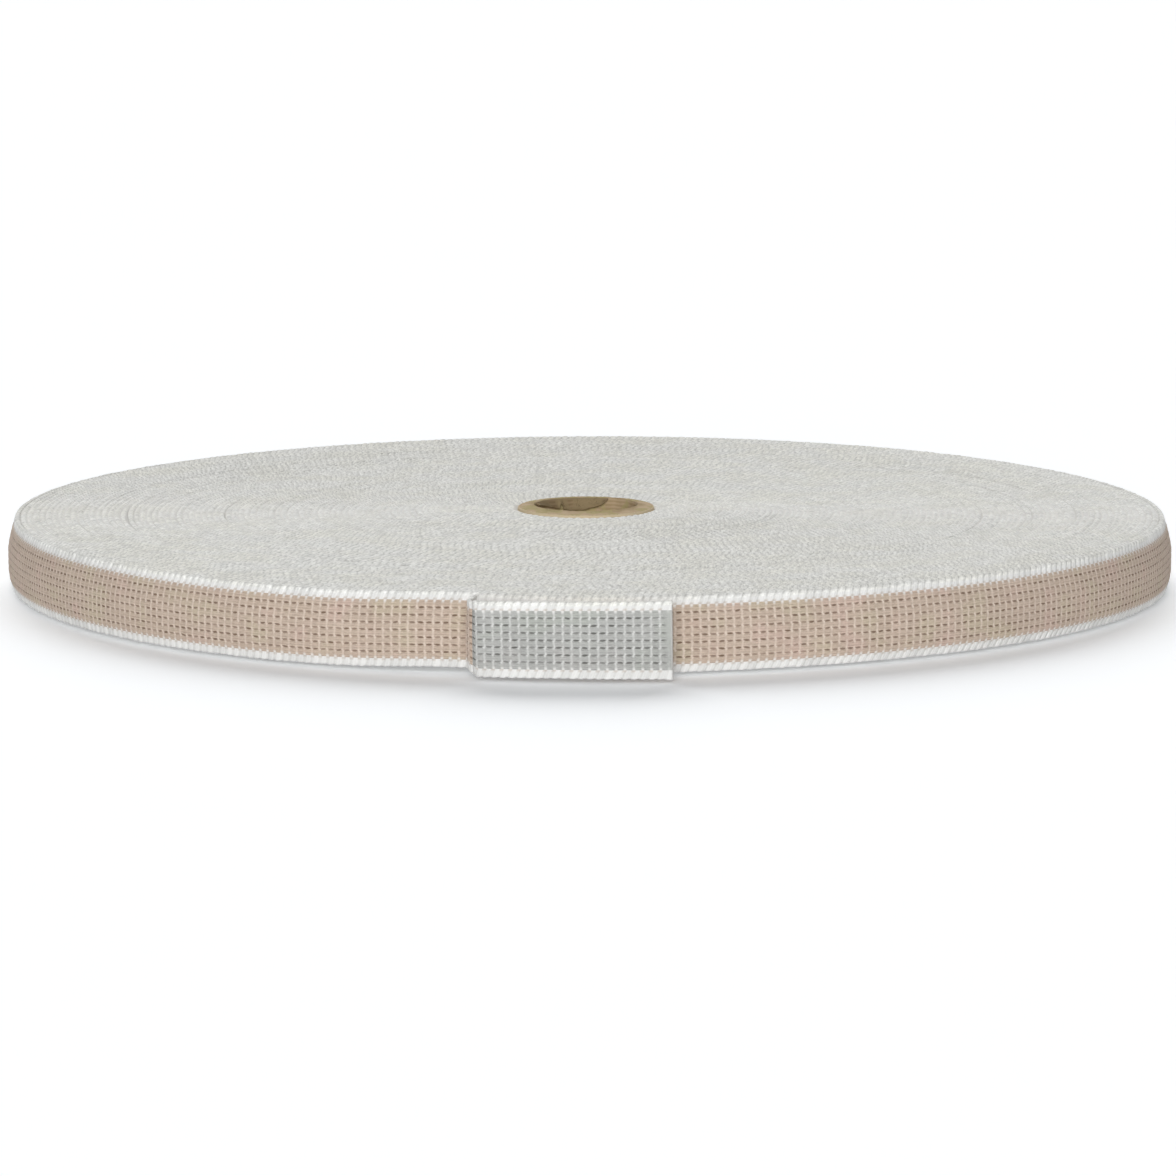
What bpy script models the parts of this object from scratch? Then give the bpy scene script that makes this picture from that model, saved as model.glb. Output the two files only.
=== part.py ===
"""Roll of narrow woven webbing lying flat, wound on a cardboard core, with its free end folded back.

Metres, +Z up. The front of the roll, where the end is folded back, faces -Y.
Everything is first built round the roll's axis at x = 0, y = 0, and then moved together so that the
origin lies on the ground under the middle of the whole part.
"""

import math

import bmesh
import bpy
from mathutils import Vector

# The webbing and how it is wound
BAND_WIDTH = 0.020
BAND_THICKNESS = 0.00148
AIR_GAP = 0.0003
TURN_PITCH = BAND_THICKNESS + AIR_GAP
ROLL_RADIUS = 0.166
SELVEDGE_WIDTH = 0.0022
SELVEDGE_ROUND = 0.0005
CORNER_BULGE = 0.3  # share of the rounding at which a corner's middle point lies
TURNS_IN_OUTER_RINGS = 3  # turns between the last level of the upper side and the rim

# The cardboard core
CORE_RADIUS = 0.0195
CORE_BORE_RADIUS = 0.0147
CORE_CHAMFER = 0.0003

# The core's worn rim slopes down outwards: how far it stands proud of the band at the bore and outside
RIM_PROUD_AT_BORE = 0.0010
RIM_PROUD_OUTSIDE = 0.0003

# The coil lies on its middle turns, which have sagged. Next to the core and at the rim it stands clear
EDGE_LIFT = 0.0008
SAG_STARTS = 0.040
SAG_IS_FULL_FROM = 0.062
SAG_IS_FULL_TO = 0.122
SAG_ENDS = 0.146

# The outermost turns are pushed up a little more to the left of the fold
FOLD_LIFT = 0.0010
FOLD_LIFT_ANGLE = math.radians(258)
FOLD_LIFT_SPREAD = math.radians(8)

# Out of round of the outermost turn: waves round the rim, cosine part, sine part
ROUNDNESS = (
    (3, 0.00025, -0.00062),
    (4, 0.00016, -0.00074),
)

# The selvedges are a little thinner than the ribs, so the wound turns lie closer together at the band's
# edges and the rim is barrel-shaped: share of the width from where it curves in, power, depth at the edge
BARREL_ABOVE = (0.55, 1.25, 0.0022)
BARREL_BELOW = (0.30, 1.80, 0.0013)

# Rows across the ribbed part of the band, as shares of its width
RIBBED_ROWS = (0.78, 0.66, 0.55, 0.30, 0.20)

# Steps between turns on the upper side: radius, height above the band's own edge
UPPER_LEVELS = (
    (0.0400, 0.00012),
    (0.0620, -0.00010),
    (0.0980, 0.00016),
    (0.1136, 0.00024),
    (0.1154, -0.00012),
    (0.1316, 0.00020),
    (0.1334, -0.00016),
    (0.1460, 0.00022),
    (0.1478, -0.00008),
)

# Where the wound solid hands over to the loose end, hidden behind the folded tab
HANDOVER_X = 0.015

# The loose end: a run along the roll, a fold, and a tab laid back over the run
FOLD_X = -0.0300
CUT_X = 0.0210
FOLD_OUTER_RADIUS = 0.0038
FOLD_TUCK_BELOW = 0.0013
FOLD_TUCK_ABOVE = 0.0005

# Stations of the tab: share of its length, how far it springs out, lean in degrees, height of its foot
TAB_STATIONS = (
    (0.00, 0.0000, -5.0, 0.00060),
    (0.35, 0.0010, -2.5, 0.00045),
    (0.70, 0.0021, 2.0, 0.00020),
    (1.00, 0.0029, 5.0, 0.00000),
)
SPRING_OUT, LEAN, FOOT = 1, 2, 3

# Which sides of the outermost turn's section, and of the loose end's, are woven in colour
OUTER_SIDES = range(3, 4 + len(RIBBED_ROWS))
REVERSE_SIDES = range(2, 3 + len(RIBBED_ROWS))
BEIGE_SIDES = range(8 + len(RIBBED_ROWS), 9 + 2 * len(RIBBED_ROWS))

# Fineness of the meshes
ROLL_SEGMENTS = 120
CORE_SEGMENTS = 48
RUN_STEPS = 10
FOLD_STEPS = 12
TAB_STEPS = 14
SHARP_EDGE_ANGLE = math.radians(35)

# Colours and roughness
BEIGE = (0.58, 0.47, 0.38, 1.0)
SELVEDGE_WHITE = (0.83, 0.83, 0.80, 1.0)
REVERSE_GREY = (0.50, 0.50, 0.48, 1.0)
CARDBOARD = (0.38, 0.29, 0.18, 1.0)
CLOTH_ROUGHNESS = 0.85
CARDBOARD_ROUGHNESS = 0.9

FRONT = math.radians(270)
FULL_TURN = 2 * math.pi


def clear_scene():
    """Removes whatever the file starts with."""
    for obj in list(bpy.data.objects):
        bpy.data.objects.remove(obj)


def make_material(name, colour, roughness):
    """A plain, non-metallic Principled material."""
    material = bpy.data.materials.new(name)
    material.use_nodes = True
    shader = material.node_tree.nodes["Principled BSDF"]
    shader.inputs["Base Color"].default_value = colour
    shader.inputs["Roughness"].default_value = roughness
    shader.inputs["Metallic"].default_value = 0.0
    material.diffuse_color = colour
    return material


def smooth_step(share):
    """Eases from 0 to 1 as share goes from 0 to 1."""
    share = min(1.0, max(0.0, share))
    return share * share * (3 - 2 * share)


def out_of_round(angle, radius):
    """How far the true winding strays from a circle at this angle. It fades towards the round core."""
    share = (radius - CORE_RADIUS) / (ROLL_RADIUS - CORE_RADIUS)
    rim = sum(a * math.cos(n * angle) + b * math.sin(n * angle) for n, a, b in ROUNDNESS)
    return rim * share * share


def handover_angle():
    """The angle at which the outermost turn becomes the loose end."""
    return FRONT + math.asin(HANDOVER_X / ROLL_RADIUS)


def outline_radius(angle):
    """Radius of the wound outline. It shrinks by one turn pitch in a full turn from the handover."""
    wound_back = (angle - handover_angle()) / FULL_TURN
    return ROLL_RADIUS - TURN_PITCH * wound_back


def lift(angle, radius):
    """How far the lower edge of the band stands above the ground at this place in the coil."""
    sag = smooth_step((radius - SAG_STARTS) / (SAG_IS_FULL_FROM - SAG_STARTS))
    sag -= smooth_step((radius - SAG_IS_FULL_TO) / (SAG_ENDS - SAG_IS_FULL_TO))
    away = (angle - FOLD_LIFT_ANGLE + math.pi) % FULL_TURN - math.pi
    near_fold = math.exp(-((away / FOLD_LIFT_SPREAD) ** 2))
    outer_turns = smooth_step((radius - SAG_ENDS) / (ROLL_RADIUS - SAG_ENDS))
    return EDGE_LIFT * (1 - sag) + FOLD_LIFT * near_fold * outer_turns


def barrel(width_share, radius):
    """How far the coil curves in at this share of the band's width, counted from its foot."""
    starts, power, depth = BARREL_ABOVE
    above = depth * max(0.0, (width_share - starts) / (1 - starts)) ** power
    starts, power, depth = BARREL_BELOW
    below = depth * max(0.0, (starts - width_share) / starts) ** power
    return (above + below) * (radius - CORE_RADIUS) / (ROLL_RADIUS - CORE_RADIUS)


def place(angle, radius, height, curve=1.0):
    """The point at this angle, radius and height, with the winding's barrel shape and out of round."""
    width_share = min(1.0, max(0.0, (height - lift(angle, radius)) / BAND_WIDTH))
    true_radius = radius + out_of_round(angle, radius) - barrel(width_share, radius) * curve
    return Vector((true_radius * math.cos(angle), true_radius * math.sin(angle), height))


def inner_profile(angle):
    """Section of the roll that closes on itself: lower face, bore, and upper face up to the last turns."""
    bore = CORE_RADIUS + AIR_GAP
    last = ROLL_RADIUS - TURNS_IN_OUTER_RINGS * TURN_PITCH
    lower = (last, SAG_ENDS, SAG_IS_FULL_TO, SAG_IS_FULL_FROM, SAG_STARTS, bore)
    upper = ((bore, 0.0), *UPPER_LEVELS, (last, 0.0))
    points = [(r, lift(angle, r)) for r in lower]
    return points + [(r, lift(angle, r) + BAND_WIDTH + level) for r, level in upper]


def outer_profile(angle):
    """Section of the outermost turn from its upper selvedge down to its lower one."""
    radius = outline_radius(angle)
    foot = lift(angle, ROLL_RADIUS)
    head = foot + BAND_WIDTH
    corner = SELVEDGE_ROUND
    return [
        (radius - corner, head),
        (radius - corner * CORNER_BULGE, head - corner * CORNER_BULGE),
        (radius, head - corner),
        (radius, head - SELVEDGE_WIDTH),
        *((radius, foot + BAND_WIDTH * share) for share in RIBBED_ROWS),
        (radius, foot + SELVEDGE_WIDTH),
        (radius, foot + corner),
        (radius - corner * CORNER_BULGE, foot + corner * CORNER_BULGE),
        (radius - corner, foot),
    ]


def build_wound_roll():
    """All the wound turns as one solid, whose outline is a spiral with one step at the handover."""
    bm = bmesh.new()
    start = handover_angle()
    angles = [start + FULL_TURN * i / ROLL_SEGMENTS for i in range(ROLL_SEGMENTS + 1)]

    def ring(angle, profile):
        return [bm.verts.new(place(angle, r, z)) for r, z in profile]

    inner = [ring(angle, inner_profile(angle)) for angle in angles[:-1]]
    inner.append(inner[0])
    outer = [ring(angle, outer_profile(angle)) for angle in angles]

    faces_beige = []
    for i in range(ROLL_SEGMENTS):
        for a, b in zip(range(len(inner[0]) - 1), range(1, len(inner[0]))):
            bm.faces.new((inner[i][a], inner[i][b], inner[i + 1][b], inner[i + 1][a]))
        for a, b in zip(range(len(outer[0]) - 1), range(1, len(outer[0]))):
            face = bm.faces.new((outer[i][a], outer[i][b], outer[i + 1][b], outer[i + 1][a]))
            if a in OUTER_SIDES:
                faces_beige.append(face)
        # At the step, the smaller outline's corner lies on the edge of the larger one's upper and lower face
        above = [outer[-1][0]] if i == 0 else []
        below = [outer[-1][-1]] if i == 0 else []
        bm.faces.new((inner[i][-1], *above, outer[i][0], outer[i + 1][0], inner[i + 1][-1]))
        bm.faces.new((inner[i + 1][0], outer[i + 1][-1], outer[i][-1], *below, inner[i][0]))
    bm.faces.new((*outer[0], *reversed(outer[-1])))

    bmesh.ops.recalc_face_normals(bm, faces=bm.faces)
    for face in faces_beige:
        face.material_index = 1
    materials = (
        make_material("wound_selvedge", SELVEDGE_WHITE, CLOTH_ROUGHNESS),
        make_material("outer_face", BEIGE, CLOTH_ROUGHNESS),
    )
    return finish_object("wound_roll", bm, materials)


def build_core_tube():
    """The cardboard tube that the first turn is wound on, a little proud of the upper side."""
    bm = bmesh.new()
    foot = EDGE_LIFT
    head_outside = EDGE_LIFT + BAND_WIDTH + RIM_PROUD_OUTSIDE
    head = EDGE_LIFT + BAND_WIDTH + RIM_PROUD_AT_BORE
    chamfer = CORE_CHAMFER
    profile = (
        (CORE_RADIUS - chamfer, foot),
        (CORE_RADIUS, foot + chamfer),
        (CORE_RADIUS, head_outside - chamfer),
        (CORE_RADIUS - chamfer, head_outside),
        (CORE_BORE_RADIUS + chamfer, head),
        (CORE_BORE_RADIUS, head - chamfer),
        (CORE_BORE_RADIUS, foot + chamfer),
        (CORE_BORE_RADIUS + chamfer, foot),
    )
    verts = [bm.verts.new((r, 0.0, z)) for r, z in profile]
    edges = [bm.edges.new((verts[i - 1], verts[i])) for i in range(len(verts))]
    bmesh.ops.spin(
        bm,
        geom=verts + edges,
        axis=(0, 0, 1),
        cent=(0, 0, 0),
        angle=FULL_TURN,
        steps=CORE_SEGMENTS,
        use_merge=True,
    )
    bmesh.ops.recalc_face_normals(bm, faces=bm.faces)
    return finish_object("core_tube", bm, (make_material("cardboard", CARDBOARD, CARDBOARD_ROUGHNESS),))


def tab_value(share, column):
    """A column of the tab's stations at this share of its length, eased between the rows."""
    for low, high in zip(TAB_STATIONS, TAB_STATIONS[1:]):
        if share <= high[0]:
            eased = smooth_step((share - low[0]) / (high[0] - low[0]))
            return low[column] + (high[column] - low[column]) * eased
    return TAB_STATIONS[-1][column]


def loose_end_stations():
    """Stations of the loose end from the handover to the cut: arc position and distance in front of the
    roll, direction across the band, lean, height of the band's foot and head, and share of the barrel shape.

    Arc position is measured along the roll's outline from straight in front, positive towards +X.
    """
    middle = AIR_GAP + BAND_THICKNESS / 2
    bend = FOLD_OUTER_RADIUS - BAND_THICKNESS / 2
    turn_at = FOLD_X + FOLD_OUTER_RADIUS
    run_from = HANDOVER_X - AIR_GAP
    rows = []
    for i in range(RUN_STEPS):
        arc = run_from + (turn_at - run_from) * i / RUN_STEPS
        foot = lift(FRONT + arc / ROLL_RADIUS, ROLL_RADIUS)
        rows.append((arc, middle, (0.0, 1.0), 0.0, foot, foot + BAND_WIDTH, 1.0))
    run_foot = lift(FRONT + turn_at / ROLL_RADIUS, ROLL_RADIUS)
    for i in range(FOLD_STEPS + 1):
        share = i / FOLD_STEPS
        turn = math.pi * share
        tuck = math.sin(turn) ** 2
        foot = run_foot + (TAB_STATIONS[0][FOOT] - run_foot) * smooth_step(share)
        rows.append(
            (
                turn_at - bend * math.sin(turn),
                middle + bend * (1 - math.cos(turn)),
                (math.sin(turn), math.cos(turn)),
                math.radians(TAB_STATIONS[0][LEAN]) * smooth_step(share),
                foot + FOLD_TUCK_BELOW * tuck,
                foot + BAND_WIDTH - FOLD_TUCK_ABOVE * tuck,
                1 - smooth_step(share),
            )
        )
    for i in range(1, TAB_STEPS + 1):
        share = i / TAB_STEPS
        distance = middle + 2 * bend + tab_value(share, SPRING_OUT)
        foot = tab_value(share, FOOT)
        lean = math.radians(tab_value(share, LEAN))
        arc = turn_at + (CUT_X - turn_at) * share
        rows.append((arc, distance, (0.0, -1.0), lean, foot, foot + BAND_WIDTH, 0.0))
    return rows


def build_loose_end():
    """The last stretch of the band as one sheet: along the roll, round the fold and back to its cut end."""
    bm = bmesh.new()
    half = BAND_THICKNESS / 2
    corner = SELVEDGE_ROUND
    # Across the band: offset from its middle towards its beige face, and distance in from foot or head
    section = (
        (-half + corner, 0.0, "foot"),
        (-half, corner, "foot"),
        (-half, SELVEDGE_WIDTH, "foot"),
        *((-half, BAND_WIDTH * share, "foot") for share in reversed(RIBBED_ROWS)),
        (-half, SELVEDGE_WIDTH, "head"),
        (-half, corner, "head"),
        (-half + corner, 0.0, "head"),
        (half - corner, 0.0, "head"),
        (half, corner, "head"),
        (half, SELVEDGE_WIDTH, "head"),
        *((half, BAND_WIDTH * share, "foot") for share in RIBBED_ROWS),
        (half, SELVEDGE_WIDTH, "foot"),
        (half, corner, "foot"),
        (half - corner, 0.0, "foot"),
    )

    def station_ring(station):
        arc, distance, across, lean, foot, head, curve = station
        ring = []
        for offset, inset, end in section:
            height = foot + inset if end == "foot" else head - inset
            lean_out = (foot + BAND_WIDTH / 2 - height) * math.tan(lean)
            along = arc + across[0] * -offset
            angle = FRONT + along / ROLL_RADIUS
            point = place(angle, outline_radius(angle) - TURN_PITCH, height, curve)
            outward = Vector((math.cos(angle), math.sin(angle), 0.0))
            ring.append(bm.verts.new(point + outward * (distance + across[1] * offset + lean_out)))
        return ring

    rings = [station_ring(station) for station in loose_end_stations()]
    count = len(section)
    sides = {**dict.fromkeys(REVERSE_SIDES, 1), **dict.fromkeys(BEIGE_SIDES, 2)}
    bm.faces.new(rings[0])
    bm.faces.new(reversed(rings[-1]))
    for first, second in zip(rings, rings[1:]):
        for a in range(count):
            b = (a + 1) % count
            face = bm.faces.new((first[a], second[a], second[b], first[b]))
            face.material_index = sides.get(a, 0)
    bmesh.ops.recalc_face_normals(bm, faces=bm.faces)
    materials = (
        make_material("loose_selvedge", SELVEDGE_WHITE, CLOTH_ROUGHNESS),
        make_material("reverse_face", REVERSE_GREY, CLOTH_ROUGHNESS),
        make_material("loose_outer_face", BEIGE, CLOTH_ROUGHNESS),
    )
    return finish_object("loose_end", bm, materials)


def finish_object(name, bm, materials):
    """Makes the mesh a named object with its materials, shaded smooth with its real edges kept sharp."""
    mesh = bpy.data.meshes.new(name)
    bm.to_mesh(mesh)
    bm.free()
    for material in materials:
        mesh.materials.append(material)
    mesh.shade_smooth()
    mesh.set_sharp_from_angle(angle=SHARP_EDGE_ANGLE)
    obj = bpy.data.objects.new(name, mesh)
    bpy.context.scene.collection.objects.link(obj)
    return obj


def centre_on_ground(objects):
    """Moves the whole part so that the origin is on the ground under the middle of its box."""
    points = [vertex.co for obj in objects for vertex in obj.data.vertices]
    middle = [(min(p[i] for p in points) + max(p[i] for p in points)) / 2 for i in (0, 1)]
    ground = min(p.z for p in points)
    for obj in objects:
        for vertex in obj.data.vertices:
            vertex.co -= Vector((*middle, ground))


def main():
    clear_scene()
    centre_on_ground([build_wound_roll(), build_core_tube(), build_loose_end()])


main()
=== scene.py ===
"""Looks of a roll of narrow woven webbing that lies flat on its cardboard core, its free end folded back.

Metres, +Z up, in the frame of the solids. The front, where the end is folded back, faces -Y.
The band is woven warp-faced in eight ribs, beige on one face and grey on the other, between two white
selvedges of slanted weft loops. Every pick of the weave is about 2.2 mm long.
"""

from __future__ import annotations

import logging
import math
from collections.abc import Callable
from dataclasses import dataclass, replace
from enum import Enum
from typing import Any

import bmesh
import bpy
import numpy as np
from mathutils import Matrix, Vector


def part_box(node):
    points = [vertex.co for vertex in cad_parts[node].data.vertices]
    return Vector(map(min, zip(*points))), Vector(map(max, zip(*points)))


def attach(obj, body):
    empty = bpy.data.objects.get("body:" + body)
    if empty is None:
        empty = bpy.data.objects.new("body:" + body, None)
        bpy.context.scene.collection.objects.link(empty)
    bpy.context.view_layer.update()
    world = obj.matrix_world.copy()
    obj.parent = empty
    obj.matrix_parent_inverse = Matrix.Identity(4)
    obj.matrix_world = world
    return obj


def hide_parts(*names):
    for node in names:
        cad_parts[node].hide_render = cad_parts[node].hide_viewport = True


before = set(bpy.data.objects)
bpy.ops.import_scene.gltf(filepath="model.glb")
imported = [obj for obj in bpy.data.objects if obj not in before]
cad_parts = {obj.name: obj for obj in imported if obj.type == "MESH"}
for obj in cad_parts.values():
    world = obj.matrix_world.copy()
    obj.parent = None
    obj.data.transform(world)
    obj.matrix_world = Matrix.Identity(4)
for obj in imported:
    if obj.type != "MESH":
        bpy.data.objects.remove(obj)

LOG = logging.getLogger("webbing_roll")
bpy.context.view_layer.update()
FULL_TURN = 2 * math.pi
FRONT = math.radians(270)
TURN_PITCH = 0.00178
Socket = bpy.types.NodeSocket
Material = bpy.types.Material
Colour = tuple[float, float, float]


def smooth_step(share: np.ndarray) -> np.ndarray:
    """Eases from 0 to 1 as share goes from 0 to 1."""
    share = np.clip(share, 0.0, 1.0)
    return share * share * (3 - 2 * share)


def away_from(middle: float, angle: np.ndarray) -> np.ndarray:
    """How far an angle lies past a middle one, from minus half a turn to half a turn."""
    return (angle - middle + math.pi) % FULL_TURN - math.pi


def outwards(angle: np.ndarray) -> np.ndarray:
    """Level directions away from the axis at these angles."""
    return np.stack([np.cos(angle), np.sin(angle), np.zeros_like(angle)], axis=1)


def round_axis(axis: Vector, angle: np.ndarray, radius: np.ndarray, height: np.ndarray) -> np.ndarray:
    """Points round the roll's axis, or one point.

    Args:
        axis: the foot of the axis.
        angle: the points' angles.
        radius: their distances from the axis.
        height: their heights above the ground.

    Returns:
        The points, one in a row.
    """
    x = axis.x + radius * np.cos(angle)
    y = axis.y + radius * np.sin(angle)
    return np.stack(np.broadcast_arrays(x, y, height), axis=-1)


def wander(lengths: np.ndarray, knot: float, swing: float, seed: int) -> np.ndarray:
    """A smooth, seeded wander along the band.

    Args:
        lengths: distances along the band, in metres.
        knot: distance between two turning points of the wander, in metres.
        swing: furthest value either way.
        seed: seed of the random numbers.

    Returns:
        One value for each length.
    """
    count = int(np.max(lengths) / knot) + 3
    knots = np.random.default_rng(seed).uniform(-swing, swing, count)
    place = lengths / knot
    low = np.floor(place).astype(int)
    eased = smooth_step(place - low)
    return knots[low] * (1 - eased) + knots[low + 1] * eased


def math_operator(operation: str, swapped: bool = False) -> Callable[[Value, Value | float], Value]:
    """Makes an operator for Value.

    Args:
        operation: the Math node's operation.
        swapped: whether the node takes the two numbers in the other order.

    Returns:
        The operator.
    """

    def operator(left: Value, right: Value | float) -> Value:
        """Adds the Math node."""
        return left.sketch.math(operation, *((right, left) if swapped else (left, right)))

    return operator


@dataclass(frozen=True)
class Value:
    """A number inside a node tree. Python's operators on it add Math nodes."""

    sketch: Sketch
    socket: Socket

    __add__ = __radd__ = math_operator("ADD")
    __sub__ = math_operator("SUBTRACT")
    __rsub__ = math_operator("SUBTRACT", swapped=True)
    __mul__ = math_operator("MULTIPLY")
    __truediv__ = math_operator("DIVIDE")

    def floor(self) -> Value:
        """Whole part."""
        return self.sketch.math("FLOOR", self)

    def fract(self) -> Value:
        """Part after the point."""
        return self.sketch.math("FRACT", self)

    def wave(self) -> Value:
        """A wave from 0 to 1 with this phase, in radians."""
        return self.sketch.math("SINE", self) * 0.5 + 0.5

    def absolute(self) -> Value:
        """Distance from zero."""
        return self.sketch.math("ABSOLUTE", self)

    def clamp(self, low: Value | float, high: Value | float) -> Value:
        """Kept from low to high."""
        return self.sketch.math("MINIMUM", self.sketch.math("MAXIMUM", self, low), high)

    def ease(self, zero_at: float, one_at: float) -> Value:
        """Goes smoothly from 0 to 1.

        Args:
            zero_at: the number that gives 0.
            one_at: the number that gives 1, larger or smaller.

        Returns:
            The eased value.
        """
        inputs = {"Value": self, "From Min": zero_at, "From Max": one_at}
        made = self.sketch.node("ShaderNodeMapRange", inputs, interpolation_type="SMOOTHSTEP")
        return self.sketch.value(made.outputs["Result"])

    def near_whole(self) -> Value:
        """Distance from the nearest whole number, from 0 to 0.5."""
        return ((self + 0.5).fract() - 0.5).absolute()

    def towards(self, other: Value | float, share: Value | float) -> Value:
        """This value at share 0, the other at share 1."""
        return self + (other - self) * share


@dataclass(frozen=True)
class Sketch:
    """Short ways to lay out one node tree, for geometry or for shading."""

    tree: bpy.types.NodeTree

    def put(self, value: Any, socket: Socket) -> None:
        """Gives a socket its input.

        Args:
            value: a value or a socket to join to it, or its plain value.
            socket: the input socket.
        """
        if isinstance(value, Value):
            value = value.socket
        if isinstance(value, Socket):
            self.tree.links.new(value, socket)
        else:
            socket.default_value = value

    def node(self, kind: str, inputs: dict[Any, Any] | None = None, **settings: Any) -> bpy.types.Node:
        """Adds a node.

        Args:
            kind: the node's type.
            inputs: what goes into its inputs, by their names or numbers.
            **settings: the node's own properties.

        Returns:
            The new node.
        """
        made = self.tree.nodes.new(kind)
        for name, setting in settings.items():
            setattr(made, name, setting)
        for name, value in (inputs or {}).items():
            self.put(value, made.inputs[name])
        return made

    def value(self, socket: Socket) -> Value:
        """Wraps a socket as a number."""
        return Value(self, socket)

    def math(self, operation: str, *values: Value | float) -> Value:
        """Adds a Math node."""
        made = self.node("ShaderNodeMath", dict(enumerate(values)), operation=operation)
        return self.value(made.outputs[0])

    def vector(self, operation: str, *values: Any) -> Socket:
        """Adds a Vector Math node and gives its vector."""
        made = self.node("ShaderNodeVectorMath", dict(enumerate(values)), operation=operation)
        return made.outputs["Vector"]

    def scaled(self, vector: Socket, scale: Value) -> Socket:
        """A vector times a number."""
        made = self.node("ShaderNodeVectorMath", {0: vector, "Scale": scale}, operation="SCALE")
        return made.outputs["Vector"]

    def combine(self, x: Any, y: Any, z: Any) -> Socket:
        """A vector of three numbers."""
        return self.node("ShaderNodeCombineXYZ", {"X": x, "Y": y, "Z": z}).outputs["Vector"]

    def parts(self, vector: Socket) -> list[Value]:
        """The three numbers of a vector."""
        made = self.node("ShaderNodeSeparateXYZ", {"Vector": vector})
        return [self.value(socket) for socket in made.outputs]

    def noise(self, place: Socket, scale: Value | float, detail: float) -> Value:
        """Soft noise from 0 to 1 with this many cells in a unit, and this much detail in them."""
        made = self.node("ShaderNodeTexNoise", {"Vector": place, "Scale": scale, "Detail": detail})
        return self.value(made.outputs[0])


def add_sockets(
    tree: bpy.types.NodeTree, names: dict[str, tuple[str, ...]], direction: str = "INPUT"
) -> dict[str, str]:
    """Adds sockets to a group's interface.

    Args:
        tree: the group.
        names: the sockets' names, by their kind.
        direction: INPUT or OUTPUT.

    Returns:
        Each socket's identifier, by its name.
    """
    made = {}
    for kind, labels in names.items():
        for label in labels:
            socket = tree.interface.new_socket(label, in_out=direction, socket_type=f"NodeSocket{kind}")
            made[label] = socket.identifier
    return made


@dataclass(frozen=True)
class Webbing:
    """The woven band before it is wound.

    thin_above and thin_below say how a selvedge thins: the share of the width at which it starts, the
    power with which it grows, and its depth at the edge.
    """

    width: float = 0.020
    thickness: float = 0.00148
    pick: float = 0.002215
    selvedge: float = 0.00242
    ribs: int = 8
    edge_round: float = 0.00045
    slant: float = 0.5
    thin_above: tuple[float, float, float] = (0.55, 1.25, 0.0022)
    thin_below: tuple[float, float, float] = (0.30, 1.80, 0.0013)

    @property
    def rib(self) -> float:
        """Width of one rib of the coloured faces."""
        return (self.width - 2 * self.selvedge) / self.ribs

    def slanted(self, reach: float) -> float:
        """Picks that a loop has moved along at this reach from the crown, up to the coloured face."""
        return self.slant * reach / (self.thickness / 2 + self.selvedge)

    def curve_in(self, width_share: float) -> float:
        """How far the outermost turn curves in, for its thinner selvedges.

        Args:
            width_share: share of the band's width, from its lower edge.

        Returns:
            The way in, in metres.
        """
        starts, power, depth = self.thin_above
        above = depth * max(0.0, (width_share - starts) / (1 - starts)) ** power
        starts, power, depth = self.thin_below
        return above + depth * max(0.0, (starts - width_share) / starts) ** power


class Cloth(Enum):
    """What a strip of the band's section shows. The value is its number in a section's table."""

    SELVEDGE = 0
    FACE = 1
    REVERSE = 2


@dataclass(frozen=True)
class Row:
    """One line of the band's section, followed along the whole band."""

    depth: float
    height: float
    out_depth: float
    out_height: float
    crown: float
    bead: float
    shift: float
    cloth: Cloth

    def mirrored(self, width: float, turn: float) -> Row:
        """The same row at the lower edge, whose loops go on slanting the same way."""
        height, shift = width - self.height, turn - self.shift
        return replace(self, height=height, out_height=-self.out_height, shift=shift)


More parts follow.
